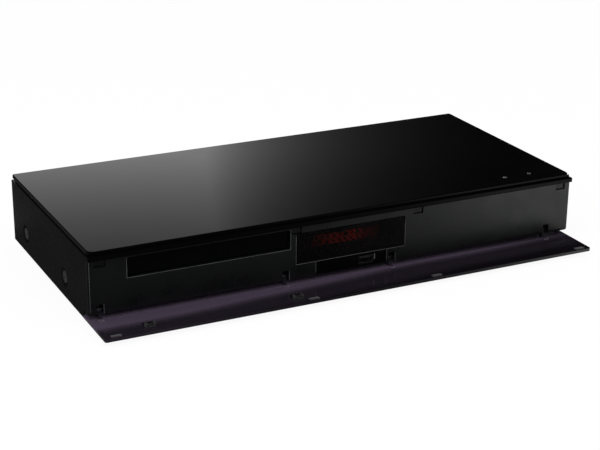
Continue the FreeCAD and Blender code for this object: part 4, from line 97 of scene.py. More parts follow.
class Tree:
    """Adds nodes to a node tree, joins them and does sums with their outputs."""

    def __init__(self, tree):
        self.tree = tree
        tree.nodes.clear()

    def add(self, kind, **inputs):
        node = self.tree.nodes.new(kind)
        for socket, value in inputs.items():
            node.inputs[socket.replace("_", " ")].default_value = value
        return node

    def join(self, source, target):
        self.tree.links.new(source, target)

    def calc(self, operation, *values):
        """One step of arithmetic on numbers or on other nodes' outputs."""
        node = self.add("ShaderNodeMath")
        node.operation = operation
        for socket, value in zip(node.inputs, values):
            if isinstance(value, (int, float)):
                socket.default_value = value
            else:
                self.join(value, socket)
        return node.outputs[0]

    def limited(self, value, low=0.0, high=1.0):
        return self.calc("MINIMUM", self.calc("MAXIMUM", value, low), high)

    def line(self, value, slope, start):
        """A straight line's height at a value."""
        return self.calc("MULTIPLY_ADD", value, slope, start)

    def rays(self):
        """Whether a ray comes from the eye, straight or through a window, and whether it is a reflection."""
        paths = self.add("ShaderNodeLightPath").outputs
        seen = self.calc("MAXIMUM", paths["Is Camera Ray"], paths["Is Transmission Ray"])
        return seen, paths["Is Glossy Ray"]


class Finish(Tree):
    """A node material: one Principled shader whose patterns read Object coordinates."""

    def __init__(self, name, colour, roughness, **sockets):
        self.material = bpy.data.materials.new(name)
        self.material.use_nodes = True
        super().__init__(self.material.node_tree)
        self.colour = colour
        self.coordinates = None
        self.shader = self.add("ShaderNodeBsdfPrincipled", Base_Color=(*colour, 1.0), Roughness=roughness,
                               **sockets)
        self.end = self.add("ShaderNodeOutputMaterial")
        self.join(self.shader.outputs["BSDF"], self.end.inputs["Surface"])
        self.material.diffuse_color = (*colour, 1.0)

    def places(self, stretch=(1, 1, 1)):
        """Object coordinates, stretched for a directional pattern."""
        if self.coordinates is None:
            self.coordinates = self.add("ShaderNodeTexCoord")
        mapping = self.add("ShaderNodeMapping", Scale=stretch)
        self.join(self.coordinates.outputs["Object"], mapping.inputs["Vector"])
        return mapping.outputs["Vector"]

    def axes(self):
        """X, Y and Z of Object coordinates, each by itself."""
        split = self.add("ShaderNodeSeparateXYZ")
        self.join(self.places(), split.inputs[0])
        return split.outputs

    def pattern(self, kind, stretch, **inputs):
        """A texture node that reads the stretched coordinates."""
        node = self.add("ShaderNodeTex" + kind, **inputs)
        self.join(self.places(stretch), node.inputs["Vector"])
        return node

    def noise(self, scale, detail=3.0, stretch=(1, 1, 1)):
        return self.pattern("Noise", stretch, Scale=scale, Detail=detail).outputs["Fac"]

    def cells(self, scale, stretch=(1, 1, 1), distance="EUCLIDEAN"):
        node = self.pattern("Voronoi", stretch, Scale=scale)
        node.distance = distance
        return node.outputs["Distance"]

    def bands(self, scale, direction, distortion=0.0):
        node = self.pattern("Wave", (1, 1, 1), Scale=scale, Distortion=distortion)
        node.bands_direction = direction
        return node.outputs["Fac"]

    def spread(self, factor, low, high, start=0.3, end=0.7):
        """Turns a pattern's middle range into values from low to high."""
        node = self.add("ShaderNodeMapRange", From_Min=start, From_Max=end, To_Min=low, To_Max=high)
        self.join(factor, node.inputs["Value"])
        return node.outputs["Result"]

    def ramp(self, factor, *stops):
        """Colours along a pattern; each stop is a place and a colour."""
        node = self.add("ShaderNodeValToRGB")
        while len(node.color_ramp.elements) < len(stops):
            node.color_ramp.elements.new(0.5)
        for element, (place, colour) in zip(node.color_ramp.elements, stops):
            element.position = place
            element.color = (*colour, 1.0)
        self.join(factor, node.inputs["Fac"])
        return node.outputs["Color"]

    def colours(self, factor, *stops):
        self.join(self.ramp(factor, *stops), self.shader.inputs["Base Color"])

    def tones(self, factor, *stops):
        """The finish's own colour along a pattern; each stop is a place and how light it is there."""
        self.colours(factor, *((place, shade(self.colour, light)) for place, light in stops))

    def rough(self, factor, low, high):
        self.join(self.spread(factor, low, high), self.shader.inputs["Roughness"])

    def relief(self, height, strength, distance):
        bump = self.add("ShaderNodeBump", Strength=strength, Distance=distance)
        self.join(height, bump.inputs["Height"])
        self.join(bump.outputs["Normal"], self.shader.inputs["Normal"])


def shade(colour, factor):
    return tuple(min(1.0, channel * factor) for channel in colour)


def gloss_moulding(name, colour, roughness=0.05, ripple=0.02, **sockets):
    """Polished moulding: nearly a mirror, with a faint long ripple and slight haze."""
    finish = Finish(name, colour, roughness, **sockets)
    haze = finish.noise(38.0, 4.0)
    finish.tones(haze, (0.3, 0.85), (0.7, 1.15))
    finish.rough(haze, roughness * 0.7, roughness * 1.4)
    finish.relief(finish.noise(14.0, 1.0), ripple, 0.001)
    return finish.material


def satin_moulding(name, colour, roughness=0.45, grain=0.15):
    """Moulding with a fine spark-eroded grain."""
    finish = Finish(name, colour, roughness)
    cloud = finish.noise(60.0)
    finish.tones(cloud, (0.3, 0.8), (0.7, 1.2))
    finish.rough(cloud, roughness * 0.85, roughness * 1.15)
    finish.relief(finish.noise(2600.0, 2.0), grain, 0.0002)
    return finish.material


def stoved_paint(name, colour):
    """Satin stoved paint on sheet steel: orange peel and a fine grain."""
    finish = Finish(name, colour, 0.42, Specular_IOR_Level=0.25)
    peel = finish.noise(420.0, 4.0)
    finish.tones(finish.noise(25.0), (0.3, 0.8), (0.7, 1.25))
    finish.rough(peel, 0.36, 0.5)
    finish.relief(peel, 0.12, 0.0003)
    return finish.material


def plated_sheet(name, colour):
    """Zinc plated sheet: soft crystals and a fine rolled grain along its length."""
    finish = Finish(name, colour, 0.38, Metallic=1.0)
    grain = finish.noise(900.0, 4.0, (0.04, 1.0, 1.0))
    finish.tones(finish.cells(70.0), (0.0, 0.82), (0.9, 1.1))
    finish.rough(grain, 0.3, 0.5)
    finish.relief(grain, 0.08, 0.0002)
    return finish.material


def drawn_metal(name, colour, roughness, stretch=(1.0, 0.03, 1.0)):
    """Bright drawn or ground metal, with lines along its length."""
    finish = Finish(name, colour, roughness, Metallic=1.0)
    lines = finish.noise(1500.0, 3.0, stretch)
    finish.tones(lines, (0.3, 0.85), (0.7, 1.1))
    finish.rough(lines, roughness * 0.7, roughness * 1.4)
    finish.relief(lines, 0.06, 0.0002)
    return finish.material


def soft_rubber(name, colour, roughness=0.8):
    """Rubber with a dull bloom and a fine grain."""
    finish = Finish(name, colour, roughness, Sheen_Weight=0.12, Sheen_Roughness=0.5)
    bloom = finish.noise(180.0, 5.0)
    finish.tones(bloom, (0.3, 0.75), (0.75, 1.5))
    finish.rough(bloom, roughness * 0.85, min(1.0, roughness * 1.15))
    finish.relief(finish.noise(1400.0), 0.2, 0.0002)
    return finish.material


def smoked_plastic(name, colour, hinge_side, free_side, half_width, roughness=0.07):
    """Smoky purple clear moulding: its tint deepens to its free edge, and painted light makes it palest by its
    hinge and at its left.
    """
    finish = Finish(name, colour, roughness, Coat_Weight=0.3, Coat_Roughness=0.03)
    x, y, _ = finish.axes()
    # Painted light: the colour is lighter towards the left, where the light falls, and darker to the right
    along = finish.spread(x, 0.0, 0.45, -half_width, half_width)
    # Darker towards the free edge: partly the tint deepening there, partly painted light, the paler part by the
    # hinge standing for light coming through the flap
    out = finish.spread(y, 0.0, 0.8, hinge_side, free_side)
    clouds = finish.spread(finish.noise(9.0, 2.0, (0.5, 2.4, 1.0)), -0.06, 0.06)
    # The depth holds both the tint and the painted light
    depth = finish.calc("ADD", finish.calc("ADD", along, out), clouds)
    finish.tones(depth, (0.31, 1.0), (0.39, 0.6), (0.46, 0.34), (0.56, 0.2), (0.8, 0.19), (1.0, 0.06))
    finish.rough(finish.noise(45.0, 4.0), roughness * 0.7, roughness * 1.5)
    finish.relief(finish.noise(20.0, 1.0), 0.02, 0.001)
    return finish.material


def clear_plastic(name, colour, alpha):
    """Thin clear moulding with a faint haze."""
    finish = Finish(name, colour, 0.12, Alpha=alpha, Specular_IOR_Level=0.15)
    finish.rough(finish.noise(260.0), 0.08, 0.2)
    finish.tones(finish.noise(120.0), (0.3, 0.85), (0.7, 1.1))
    return finish.material


def smoked_window(name, colour, alpha):
    """The display's smoked window: a dark gloss that lets the lit cells through."""
    finish = Finish(name, colour, 0.06, Alpha=alpha, Specular_IOR_Level=0.1)
    finish.tones(finish.noise(30.0), (0.3, 0.7), (0.7, 1.3))
    finish.rough(finish.noise(50.0, 4.0), 0.04, 0.1)
    return finish.material


def lit_cells(name, colour, strength):
    """Display cells that glow unevenly and fade to the display's ends, as seen through the window."""
    finish = Finish(name, (0.02, 0.0, 0.0), 0.4, Emission_Strength=strength)
    away = finish.calc("ABSOLUTE", finish.axes()["X"])
    fade = finish.limited(finish.line(away, -38.0, 1.25))
    glow = finish.calc("MULTIPLY", fade, finish.spread(finish.noise(170.0, 2.0), 0.35, 1.0))
    colours = finish.ramp(glow, (0.0, shade(colour, 0.03)), (1.0, colour))
    finish.join(colours, finish.shader.inputs["Emission Color"])
    return finish.material


def circuit_board(name, mask, copper):
    """Solder mask over a maze of tracks, with bare pads."""
    finish = Finish(name, mask, 0.35, Coat_Weight=0.3, Coat_Roughness=0.15)
    track = finish.spread(finish.cells(420.0, (1.0, 1.0, 0.02), "CHEBYCHEV"), 0.0, 1.0, 0.42, 0.5)
    finish.colours(track, (0.0, mask), (0.85, shade(mask, 1.9)), (0.97, copper))
    finish.relief(track, 0.15, 0.0001)
    return finish.material


def ferrite_core(name, colour):
    """Sintered ferrite with fine specks."""
    finish = Finish(name, colour, 0.55)
    specks = finish.cells(900.0)
    finish.tones(specks, (0.1, 0.6), (0.8, 1.4))
    finish.relief(specks, 0.1, 0.0002)
    return finish.material


def wound_wire(name, colour):
    """Enamelled wire: bright copper under a clear amber enamel."""
    finish = Finish(name, colour, 0.25, Metallic=0.85, Coat_Weight=0.6, Coat_Roughness=0.1)
    lay = finish.bands(160.0, "X", 2.0)
    finish.tones(lay, (0.2, 0.6), (0.8, 1.2))
    finish.relief(lay, 0.3, 0.0002)
    return finish.material


def sleeved_can(name, colour):
    """Shrink sleeve with paler stripes."""
    finish = Finish(name, colour, 0.3, Coat_Weight=0.4, Coat_Roughness=0.1)
    finish.tones(finish.bands(34.0, "Y"), (0.86, 1.0), (0.93, 7.0))
    finish.relief(finish.noise(300.0), 0.1, 0.0002)
    return finish.material


def flat_cable(name, colour, direction):
    """A flat cable's even row of conductors under its film."""
    finish = Finish(name, colour, 0.4)
    cores = finish.bands(314.0, direction)
    finish.tones(cores, (0.25, 0.72), (0.6, 1.0))
    finish.relief(cores, 0.4, 0.0002)
    return finish.material


def coated_lens(name, colour):
    """Lens whose coating shades from blue to violet."""
    finish = Finish(name, colour, 0.02, Coat_Weight=1.0, Coat_Roughness=0.02, IOR=1.6)
    finish.colours(finish.noise(220.0, 1.0), (0.3, shade(colour, 0.6)), (0.7, (0.35, 0.2, 0.6)))
    return finish.material


MATERIALS = {}


def finish_of(name):
    return MATERIALS[name]


# Ways to make meshes


def linked(name, data):
    """A new object in the scene."""
    made = bpy.data.objects.new(name, data)
    bpy.context.scene.collection.objects.link(made)
    return made


def mesh_object(name, shape, material, smooth=None):
    """Turns a bmesh in millimetres into an object; smooth is the angle up to which edges look round."""
    bmesh.ops.remove_doubles(shape, verts=shape.verts[:], dist=0.0005)
    bmesh.ops.recalc_face_normals(shape, faces=shape.faces[:])
    bmesh.ops.scale(shape, vec=(MM, MM, MM), verts=shape.verts[:])
    mesh = bpy.data.meshes.new(name)
    shape.to_mesh(mesh)
    shape.free()
    mesh.materials.append(material)
    if smooth is not None:
        mesh.shade_smooth()
        mesh.set_sharp_from_angle(angle=math.radians(smooth))
    return linked(name, mesh)


def mesh_piece(name, shape, finish, smooth=None, body="player"):
    """A finished piece that rides on a body."""
    piece = mesh_object(name, shape, finish_of(finish), smooth)
    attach(piece, body)
    return piece


def add_box(shape, low, high, edge=0.0):
    """A block with softened edges."""
    size = Vector(high) - Vector(low)
    middle = (Vector(high) + Vector(low)) / 2
    place = Matrix.Translation(middle) @ Matrix.Diagonal((*size, 1.0))
    made = bmesh.ops.create_cube(shape, size=1.0, matrix=place)
    if edge:
        edges = list({e for v in made["verts"] for e in v.link_edges})
        bmesh.ops.bevel(shape, geom=edges, offset=edge, segments=2, profile=0.7, affect="EDGES")


def box_piece(name, boxes, edge, finish, body="player"):
    """One piece made of blocks, each given as its lowest and highest corner."""
    shape = bmesh.new()
    for low, high in boxes:
        add_box(shape, low, high, edge)
    mesh_piece(name, shape, finish, 40, body)


# Turns what points up to point to the back

BACKWARDS = Matrix.Rotation(math.radians(-90), 4, "X")


def around(steps):
    """Even steps round a circle, each as its share of the turn, its cosine and its sine."""
    angles = [2 * math.pi * step / steps for step in range(steps)]
    return [(step / steps, math.cos(angle), math.sin(angle)) for step, angle in enumerate(angles)]


def join_rings(shape, lower, upper):
    """Faces between two rings of corners, either of which may be one corner at a pole."""
    steps = max(len(lower), len(upper))
    for step in range(steps):
        following = (step + 1) % steps
        corners = [lower[step % len(lower)], lower[following % len(lower)],
                   upper[following % len(upper)], upper[step % len(upper)]]
        shape.faces.new(list(dict.fromkeys(corners)))


def add_turned(shape, profile, place=Matrix(), steps=48):
    """A turned form: its profile runs along +Z as radius and height, from axis to axis."""
    rings = []
    for radius, height in profile:
        directions = around(steps) if radius else [(0, 0, 0)]
        rings.append([shape.verts.new(place @ Vector((radius * across, radius * up, height)))
                      for _, across, up in directions])
    for lower, upper in zip(rings, rings[1:]):
        join_rings(shape, lower, upper)


def rectangle(left, right, low, high):
    return [(left, low), (right, low), (right, high), (left, high)]


def add_prism(shape, outline, place, thick):
    """A flat outline given a thickness along +Z."""
    low = [shape.verts.new(place @ Vector((a, b, 0))) for a, b in outline]
    high = [shape.verts.new(place @ Vector((a, b, thick))) for a, b in outline]
    shape.faces.new(low[::-1])
    shape.faces.new(high)
    join_rings(shape, low, high)


def add_screw_head(shape, radius, rise, reach, shank, arm, width, steps=40, rings=12):
    """A domed head with a cross recess, on a plain shank that runs to -Z."""
    depth, end_slope, side_slope = 0.75 * rise, 0.5, 0.22
    rows = []
    for ring in range(rings + 1):
        r = radius * ring / rings
        dome = rise * (1.0 - 0.45 * (r / radius) ** 2.5)
        row = []
        for _, across, up in around(steps if ring else 1):
            x, y = r * across, r * up
            along, aside = max(abs(x), abs(y)), min(abs(x), abs(y))
            inside = min((arm - along) / end_slope, (width - aside) / side_slope)
            sunk = depth * max(0.0, min(1.0, inside))
            row.append(shape.verts.new((x, y, dome - sunk)))
        rows.append(row)
    for r, z in ((radius, 0.0), (shank, 0.0), (shank, -reach)):
        rows.append([shape.verts.new((r * across, r * up, z)) for _, across, up in around(steps)])
    for lower, upper in zip(rows, rows[1:]):
        join_rings(shape, lower, upper)
    shape.faces.new(rows[-1][::-1])


# Repeats with Geometry Nodes


def repeat_tree(name):
    """A tree that sets one piece on each point of a mesh, turned by the point's own angles."""
    tree = bpy.data.node_groups.new(name, "GeometryNodeTree")
    for label, kind, way in (("Points", "Geometry", "INPUT"), ("Piece", "Object", "INPUT"),
                             ("Finish", "Material", "INPUT"), ("Size", "Float", "INPUT"),
                             ("Size spread", "Float", "INPUT"), ("Seed", "Int", "INPUT"),
                             ("Pieces", "Geometry", "OUTPUT")):
        tree.interface.new_socket(label, in_out=way, socket_type="NodeSocket" + kind)
    wiring = Tree(tree)
    start, end = wiring.add("NodeGroupInput"), wiring.add("NodeGroupOutput")
    info = wiring.add("GeometryNodeObjectInfo")
    turn = wiring.add("GeometryNodeInputNamedAttribute", Name="turn")
    turn.data_type = "FLOAT_VECTOR"
    vary = wiring.add("FunctionNodeRandomValue")
    wiring.join(wiring.calc("SUBTRACT", 1.0, start.outputs["Size spread"]), vary.inputs[2])
    vary.inputs[3].default_value = 1.0
    place = wiring.add("GeometryNodeInstanceOnPoints")
    wiring.join(wiring.calc("MULTIPLY", vary.outputs[1], start.outputs["Size"]), place.inputs["Scale"])
    real = wiring.add("GeometryNodeRealizeInstances")
    finish = wiring.add("GeometryNodeSetMaterial")
    for source, output, target, entry in (
            (start, "Points", place, "Points"), (start, "Piece", info, "Object"),
            (info, "Geometry", place, "Instance"), (turn, "Attribute", place, "Rotation"),
            (start, "Seed", vary, "Seed"), (place, "Instances", real, "Geometry"),
            (real, "Geometry", finish, "Geometry"), (start, "Finish", finish, "Material"),
            (finish, "Geometry", end, "Pieces")):
        wiring.join(source.outputs[output], target.inputs[entry])
    return tree


def repeated(name, shape, places, finish, smooth=35.0, size=1.0, spread=0.0, seed=3):
    """One plain mesh of a piece repeated on places, each a point in millimetres and three angles."""
    material = finish_of(finish)
    source = mesh_object(name + "_source", shape, material, smooth)
    mesh = bpy.data.meshes.new(name)
    mesh.from_pydata([Vector(point) * MM for point, angles in places], [], [])
    turn = mesh.attributes.new("turn", "FLOAT_VECTOR", "POINT")
    turn.data.foreach_set("vector", [angle for point, angles in places for angle in angles])
    holder = linked(name + "_points", mesh)
    tree = bpy.data.node_groups.get("Repeat") or repeat_tree("Repeat")
    modifier = holder.modifiers.new("Repeat", "NODES")
    modifier.node_group = tree
    values = {"Piece": source, "Finish": material, "Size": size, "Size spread": spread, "Seed": seed}
    for item in tree.interface.items_tree:
        if item.in_out == "INPUT" and item.name in values:
            modifier[item.identifier] = values[item.name]
    graph = bpy.context.evaluated_depsgraph_get()
    made = bpy.data.meshes.new_from_object(holder.evaluated_get(graph))
    for old in (holder, source):
        bpy.data.objects.remove(old)
    piece = linked(name, made)
    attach(piece, "player")
    return piece


# The settings that a user would change


class LooksSettings(bpy.types.PropertyGroup):
    top_colour: bpy.props.FloatVectorProperty(
        name="Top", description="Colour of the gloss top and lip", subtype="COLOR",
        default=(0.0010, 0.0010, 0.0011))
    front_colour: bpy.props.FloatVectorProperty(
        name="Front", description="Colour of the front panel", subtype="COLOR",
        default=(0.0030, 0.0034, 0.0036))
    flap_colour: bpy.props.FloatVectorProperty(
        name="Flap", description="Smoky tint of the flap", subtype="COLOR",
        default=(0.066, 0.050, 0.076))
    glow_colour: bpy.props.FloatVectorProperty(
        name="Glow", description="Colour of the lit display cells", subtype="COLOR",
        default=(0.9, 0.03, 0.02))
    glow_strength: bpy.props.FloatProperty(
        name="Glow strength", description="How bright the display cells are", default=2.6, min=0.0)


class PieceSettings(bpy.types.PropertyGroup):
    cell_count: bpy.props.IntProperty(
        name="Display cells", description="How many character cells the display has", default=11)
    cell_pitch: bpy.props.FloatProperty(
        name="Cell pitch", description="Distance between display cells in millimetres", default=5.4)
    cell_seed: bpy.props.IntProperty(
        name="Cell seed", description="Seed for the bars that are lit in each display cell", default=5)
    cells_right: bpy.props.FloatProperty(
        name="Cells' place", description="Display cells' middle from the player's middle, in millimetres",
        default=1.5)
    cells_up: bpy.props.FloatProperty(
        name="Cells' height", description="Display cells above the module's middle, in millimetres",
        default=3.2)
    # Width of the light strips that paint highlights on the front's edges
    edge_width: bpy.props.FloatProperty(
        name="Edge width", description="Width of the painted edge highlights on the front, in millimetres",
        default=0.26)
    thread_pitch: bpy.props.FloatProperty(
        name="Thread pitch", description="Sled screw's pitch in millimetres", default=2.0)
    winding_turns: bpy.props.IntProperty(
        name="Winding turns", description="Turns on the filter coil", default=22)
    chip_seed: bpy.props.IntProperty(
        name="Chip seed", description="Seed for the sizes of the small chips", default=7)


class StageSettings(bpy.types.PropertyGroup):
    lens: bpy.props.FloatProperty(name="Lens", description="Camera lens in millimetres", default=92.596)
    key_power: bpy.props.FloatProperty(
        name="Key light", description="Power of the large soft light", default=18.0, subtype="POWER")
    fill_power: bpy.props.FloatProperty(
        name="Fill light", description="Power of the soft light in front", default=5.0, subtype="POWER")


def looks():
    return bpy.context.scene.player_looks


def sizes():
    return bpy.context.scene.player_pieces


# Nodes whose finish isn't the one of their slot

# The tray front and the flap's pads take the front moulding's darker copy, which paints their shade
OWN_FINISHES = {"power_cable": "cable_red", "tray_front": "front_painted_shade", "front_lip": "lip_gloss",
                "flap_pads": "front_painted_shade", "flap_pushers": "pusher_black", "usb_socket": "dark_nickel"}


def make_finishes():
    """All finishes: first those named for the record's slots, then those of single nodes and fine pieces."""
    settings = looks()
    free_side = box_of("flap")[0]
    hinge_side = box_of("front_panel")[0]
    top, front = tuple(settings.top_colour), tuple(settings.front_colour)
    MATERIALS.update({
        "top_gloss": gloss_moulding("Gloss top", top, 0.05, 0.004),
        "front_plastic": gloss_moulding("Front moulding", front, 0.30, 0.02),
        "flap_tint": smoked_plastic("Smoky flap", tuple(settings.flap_colour), hinge_side.y * MM,
                                    free_side.y * MM, free_side.x * -MM),
        "clear_plastic": clear_plastic("Clear arms", (0.03, 0.029, 0.034), 0.15),
        "window_tint": smoked_window("Smoked window", (0.002, 0.0016, 0.0016), 0.86),
        "cover_paint": stoved_paint("Cover paint", (0.0042, 0.0042, 0.0048)),
        "zinc_sheet": plated_sheet("Zinc plated sheet", (0.56, 0.57, 0.57)),
        "black_screw": drawn_metal("Blackened screws", (0.12, 0.12, 0.125), 0.3),
        "bright_steel": drawn_metal("Ground steel", (0.7, 0.7, 0.72), 0.14),
        "soft_pad": soft_rubber("Soft pads", (0.034, 0.032, 0.036), 0.4),
        "foot_rubber": soft_rubber("Foot rubber", (0.02, 0.02, 0.02)),
        "grommet_rubber": soft_rubber("Grommet rubber", (0.08, 0.08, 0.09)),
        "belt_rubber": soft_rubber("Belt rubber", (0.015, 0.015, 0.015), 0.6),
        "board_green": circuit_board("Main circuit boards", (0.012, 0.09, 0.04), (0.5, 0.36, 0.12)),
        "board_tan": circuit_board("Power circuit board", (0.36, 0.22, 0.09), (0.6, 0.45, 0.25)),
        "chip_black": satin_moulding("Chip moulding", (0.015, 0.015, 0.016), 0.5),
        "display_glass": gloss_moulding("Display glass", (0.012, 0.010, 0.010), 0.08),
        "sink_aluminium": drawn_metal("Extruded aluminium", (0.76, 0.77, 0.78), 0.3),
        "ferrite": ferrite_core("Ferrite", (0.05, 0.05, 0.055)),
        "can_sleeve": sleeved_can("Can sleeve", (0.012, 0.016, 0.05)),
        "coil_wire": wound_wire("Coil wire", (0.72, 0.28, 0.1)),
        "socket_steel": drawn_metal("Socket shells", (0.66, 0.66, 0.67), 0.22, (1.0, 0.1, 1.0)),
        "socket_black": satin_moulding("Socket moulding", (0.014, 0.014, 0.014), 0.5),
        "coax_orange": satin_moulding("Orange moulding", (0.5, 0.13, 0.01), 0.4),
        "fan_black": satin_moulding("Fan moulding", (0.012, 0.012, 0.012), 0.5),
        "drive_plastic": satin_moulding("Drive frame moulding", (0.03, 0.03, 0.033), 0.55, 0.25),
        "tray_plastic": satin_moulding("Tray moulding", (0.012, 0.012, 0.013), 0.4, 0.3),
        "gear_plastic": satin_moulding("Acetal", (0.74, 0.72, 0.66), 0.35, 0.05),
        "traverse_plastic": satin_moulding("Traverse moulding", (0.06, 0.06, 0.066), 0.5),
        "motor_steel": drawn_metal("Motor cans", (0.6, 0.6, 0.6), 0.28, (1.0, 1.0, 0.05)),
        "lens_glass": coated_lens("Coated lens", (0.25, 0.3, 0.5)),
        "cable_white": flat_cable("Flat cable", (0.72, 0.72, 0.69), "X"),
        "cable_red": flat_cable("Power cable", (0.5, 0.08, 0.05), "Y"),
        # A darker copy of the front moulding, with weaker gloss, paints the shade in the tray opening, the socket
        # recess and on the flap's pads
        "front_painted_shade": gloss_moulding("Front moulding with painted shade", shade(front, 0.3), 0.22, 0.02,
                                      Specular_IOR_Level=0.08),
        "lip_gloss": gloss_moulding("Gloss lip", top, 0.08, 0.004, Specular_IOR_Level=0.1),
        "pusher_black": soft_rubber("Pusher pads", (0.008, 0.0075, 0.009), 0.5),
        "dark_nickel": drawn_metal("Dark nickel shell", (0.34, 0.34, 0.35), 0.3, (1.0, 0.1, 1.0)),
        "side_screw": satin_moulding("Painted screws", (0.028, 0.028, 0.03), 0.35, 0.02),
        # Light grey for the narrow strips that paint highlights on the front's edges
        "painted_edge_highlight": satin_moulding("Painted edge highlights", (0.075, 0.075, 0.08), 0.3, 0.02),
        # Light grey that paints highlights: on the flap's moulded ribs, and on the strip at the socket's right
        "painted_highlight_grey": satin_moulding("Light grey with painted highlight", (0.16, 0.145, 0.165), 0.3, 0.02),
        "mark_grey": satin_moulding("Key marks", (0.22, 0.22, 0.23), 0.4, 0.02),
        "contact_gold": drawn_metal("Gold contacts", (0.83, 0.6, 0.22), 0.2),
        "lit_cells": lit_cells("Lit cells", tuple(settings.glow_colour), settings.glow_strength),
    })


class PLAYER_OT_finishes(bpy.types.Operator):
    """Gives each solid of the player its own finish"""

    bl_idname = "player.finishes"
    bl_label = "Finish the solids"

    def execute(self, context):
        make_finishes()
        slots = {entry["node"]: entry["material_slot"] for entry in frame["record"]["subparts"]}
        for name, node in nodes.items():
            node.data.materials.clear()
            node.data.materials.append(finish_of(OWN_FINISHES.get(name, slots[name])))
        return {"FINISHED"}


class PLAYER_OT_feet(bpy.types.Operator):
    """Turned feet: a moulded cup that holds a ribbed rubber pad"""

    bl_idname = "player.feet"
    bl_label = "Feet"

    def execute(self, context):
        low, high = box_of("feet")
        edge, rim, seat, wall = 0.3, 0.35, 1.2, 0.8
        radius, top = FOOT_RADIUS, high.z
        cup = bmesh.new()
        add_turned(cup, [(0, top), (radius - edge, top), (radius, top - edge), (radius, 0.9),
                         (radius - wall, rim), (radius - 2 * wall, rim), (radius - 1.8, seat), (0, seat)])
        places = [((x, y, 0), (0, 0, 0)) for x in (low.x + radius, high.x - radius)
                  for y in (low.y + radius, high.y - radius)]
        cups = repeated("foot_cups", cup, places, "socket_black")
        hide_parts("feet")
        pad = bmesh.new()
        inner, groove, ring_pitch = radius - 2.0, 0.25, 1.5
        profile = [(0, seat - 0.1), (inner, seat - 0.1), (inner, groove), (inner - groove, 0.0)]
        for ring in range(4):
            r = inner - 1.2 - ring * ring_pitch
            profile += [(r + 0.3, 0.0), (r + 0.1, groove), (r - 0.1, groove), (r - 0.3, 0.0)]
        profile.append((0, 0.0))
        add_turned(pad, profile)
        repeated("foot_pads", pad, places, "foot_rubber")
        return {"FINISHED"}


class PLAYER_OT_screws(bpy.types.Operator):
    """Screws with cross recesses at the sides and the back"""

    bl_idname = "player.screws"
    bl_label = "Screws"

    def execute(self, context):
        self.make_side_screws()
        self.make_rear_screws()
        return {"FINISHED"}

    def make_side_screws(self):
        """Two large heads in each side, each with its cross left at its own angle."""
        low, high = box_of("side_screws")
        head, rise = 4.9, 1.7
        shape = bmesh.new()
        add_screw_head(shape, head, rise, reach=5.0, shank=1.8, arm=2.7, width=0.55)
        places = []
        for x, lean in ((low.x + rise, -90), (high.x - rise, 90)):
            for y in (low.y + head, high.y - head):
                twist = Matrix.Rotation(math.radians(25 if y < 0 else 60), 3, "Z")
                turn = Matrix.Rotation(math.radians(lean), 3, "Y") @ twist
                places.append(((x, y, (low.z + high.z) / 2), tuple(turn.to_euler())))
        piece = repeated("side_cross_screws", shape, places, "side_screw")
        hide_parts("side_screws")

    def make_rear_screws(self):
        """Small heads along the rear panel's top edge."""
        low, high = box_of("rear_screws")
        head, rise = 2.9, 1.6
        shape = bmesh.new()
        add_screw_head(shape, head, rise, reach=4.0, shank=1.4, arm=1.7, width=0.4)
        places = [((x, high.y - rise, (low.z + high.z) / 2), (math.radians(-90), 0, 0))
                  for x in REAR_SCREWS]
        piece = repeated("rear_cross_screws", shape, places, "black_screw")
        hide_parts("rear_screws")


# The bars of a display character, each as its middle, half its width and half its height

CHARACTER_BARS = ((0.0, 4.0, 1.25, 0.5), (0.0, 0.0, 1.25, 0.5), (0.0, -4.0, 1.25, 0.5),
                  (-1.8, 2.0, 0.5, 1.6), (1.8, 2.0, 0.5, 1.6), (-1.8, -2.0, 0.5, 1.6), (1.8, -2.0, 0.5, 1.6))
CHARACTER_SLANT = math.tan(math.radians(17))


class PLAYER_OT_display(bpy.types.Operator):
    """Lit character cells behind the smoked window"""

    bl_idname = "player.display"
    bl_label = "Display"

    def execute(self, context):
        low, high = box_of("display_module")
        settings = sizes()
        middle_z = (low.z + high.z) / 2 + settings.cells_up
        ahead, thick = 0.12, 0.1
        place = Matrix(((1, 0, 0, 0), (0, 0, 1, low.y - ahead), (0, 1, 0, 0), (0, 0, 0, 1)))
        lit = random.Random(settings.cell_seed)
        shape = bmesh.new()
        for cell in range(settings.cell_count):
            x = settings.cells_right + (cell - (settings.cell_count - 1) / 2) * settings.cell_pitch
            for across, up, half_width, half_height in lit.sample(CHARACTER_BARS, lit.choice((6, 7))):
                middle = x + across + CHARACTER_SLANT * up
                lean = CHARACTER_SLANT * half_height
                low_z, high_z = middle_z + up - half_height, middle_z + up + half_height
                outline = [(middle - half_width - lean, low_z), (middle + half_width - lean, low_z),
                           (middle + half_width + lean, high_z), (middle - half_width + lean, high_z)]
                add_prism(shape, outline, place, thick)
        mesh_piece("display_cells", shape, "lit_cells")
        return {"FINISHED"}


def hinge_places():
    """X of the flap's four arms, of which the frame's box gives the outer two."""
    low, high = box_of("flap_arms")
    return (low.x + ARM_WIDTH / 2, *INNER_HINGES, high.x - ARM_WIDTH / 2)


